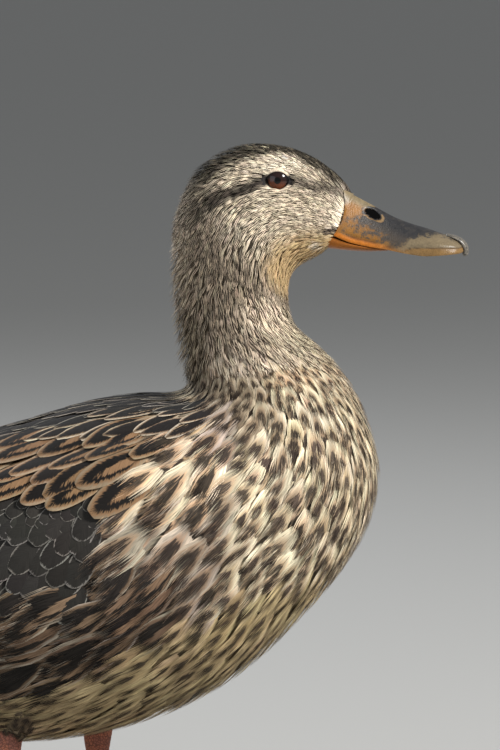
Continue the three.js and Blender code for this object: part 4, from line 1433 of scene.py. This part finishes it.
def foot_place(reach, sweep):
    """A place on the foot's upper side, and its height: toes are ridges on the web."""
    inset = WEB.edge
    web = np.clip((sweep - inset) / (1 - 2 * inset), 0, 1) * (len(TOES) - 1)
    k = np.minimum(len(TOES) - 2, np.floor(web)).astype(int)
    f = web - k
    degrees, lengths = TOES.T
    angle = np.radians(mix(degrees[k], degrees[k + 1], f))
    length = mix(lengths[k], lengths[k + 1], f) * (1 - WEB.scallop * np.sin(np.pi * f) ** 1.2)
    outside = np.where(sweep < inset, sweep - inset, np.maximum(0, sweep - 1 + inset)) / inset
    radius = mix(TOE.root, TOE.tip, reach) * (1 + TOE.knuckles * np.cos(reach * 18))
    between_toes = np.radians(degrees[k + 1] - degrees[k]) * (reach * length + 2 * TOE.spread)
    from_toe = np.minimum(f, 1 - f) * between_toes
    ridge = np.where(np.abs(outside) > 0, 1 - outside**2, 1 - (from_toe / (radius * 1.15)) ** 2)
    scutes = 0.12 * np.abs(np.sin(reach * length * 1.9)) ** 0.5 * (ridge > 0)
    height = WEB.thick + np.sqrt(np.maximum(0, ridge)) * (radius * 1.65 - WEB.thick) + scutes - 0.1
    folds = 0.18 * np.sin(reach * 9 + f * 4) * np.clip(-ridge, 0, 1)
    return toe_place(angle, reach * length, outside * radius), height + folds


def on_ground(name, place, height):
    """From a foot's own plane to the bird's frame."""
    _, foot_x, yaw = STANCE[name]
    side, yaw = -SIDES[name], math.radians(yaw)
    x, y = place[..., 0], place[..., 1] * side
    turned_x, turned_y = x * math.cos(yaw) - y * math.sin(yaw), x * math.sin(yaw) + y * math.cos(yaw)
    return np.stack([foot_x + turned_x, side * (LEG.side + 1) + turned_y, height], -1)


def foot(name, material):
    place, height = foot_place(*np.meshgrid(np.linspace(0, 1, 44), np.linspace(0, 1, 120), indexing="ij"))
    top, under = on_ground(name, place, height), on_ground(name, place, 0 * height)
    rings = np.concatenate([top, under[:, ::-1]], 1)
    tube_object(f"foot_skin_{name}", rings, material, "leg_skin", f"foot_{name}")


def claw(name, toe, finger, material):
    degrees, length = toe
    t, turn = net((0, 1), 14, 16)
    radius = mix(CLAW.radius, CLAW.tip, t**1.4)
    middle = mix(CLAW.radius + CLAW.lift, CLAW.tip, t**1.8)
    place = toe_place(math.radians(degrees), length + 0.2 + t * CLAW.length, np.cos(turn) * radius)
    points = on_ground(name, place, middle + np.sin(turn) * radius)
    tube_object(f"claw_horn_{finger}_{name}", points, material, "claw", f"claw_{finger}_{name}")


# --- stage, lights, camera ---

CAMERA = SimpleNamespace(centre=(102.0, 0.0, 198.9), distance=3000, elevation=5, width=204.08, sensor=36)


def aimed(name, data, place, target):
    """A camera or light at a place, turned towards a target."""
    obj = bpy.data.objects.new(name, data)
    obj.location = np.array(place) * MM
    away = obj.location - type(obj.location)(np.array(target) * MM)
    obj.rotation_euler = away.to_track_quat("Z", "Y").to_euler()
    bpy.context.scene.collection.objects.link(obj)
    return obj


def camera():
    """The view covers 204 mm by 306 mm at the bird's middle plane."""
    data = bpy.data.cameras.new("camera")
    data.sensor_fit = "VERTICAL"
    data.sensor_height = CAMERA.sensor
    data.lens = CAMERA.sensor * CAMERA.distance / (CAMERA.width * 1.5)
    raised = math.radians(CAMERA.elevation)
    offset = np.array([0, -math.cos(raised), math.sin(raised)]) * CAMERA.distance
    bpy.context.scene.camera = aimed("camera", data, CAMERA.centre + offset, CAMERA.centre)


def world():
    scene = bpy.context.scene
    scene.world = scene.world or bpy.data.worlds.new("world")
    scene.world.use_nodes = True
    background = scene.world.node_tree.nodes["Background"].inputs
    background["Color"].default_value = (0.78, 0.8, 0.82, 1)
    background["Strength"].default_value = 0.38
    scene.view_settings.view_transform = "Standard"


def stage():
    half = 12000
    corners = [(-half, -half, 0), (half, -half, 0), (half, half, 0), (-half, half, 0)]
    floor = new_object("floor", corners, [(0, 1, 2, 3)])
    floor.data.materials.append(new_material("floor", 0.9, colour=(0.36, 0.36, 0.35))[0])


def area_light(name, place, target, size, watts, colour):
    light = bpy.data.lights.new(name, "AREA")
    light.energy, light.size, light.color = watts, size * MM, colour
    aimed(name, light, place, target)


camera()
world()
stage()
area_light("key", (1600, -850, 1350), (60, 0, 150), 350, 75, (1.0, 0.975, 0.945))
area_light("fill", (-900, -1100, 500), (40, 0, 150), 1200, 8, (0.85, 0.92, 1.0))
area_light("back", (-800, 1300, 1300), (40, 0, 150), 900, 18, (0.95, 0.97, 1.0))
skin()
head_coat()
neck_coat()
under_coat()
trunk_coat()
thigh_coat()
wing_quills()
wing_tips()
tail()
bill()
eyes()
legs()
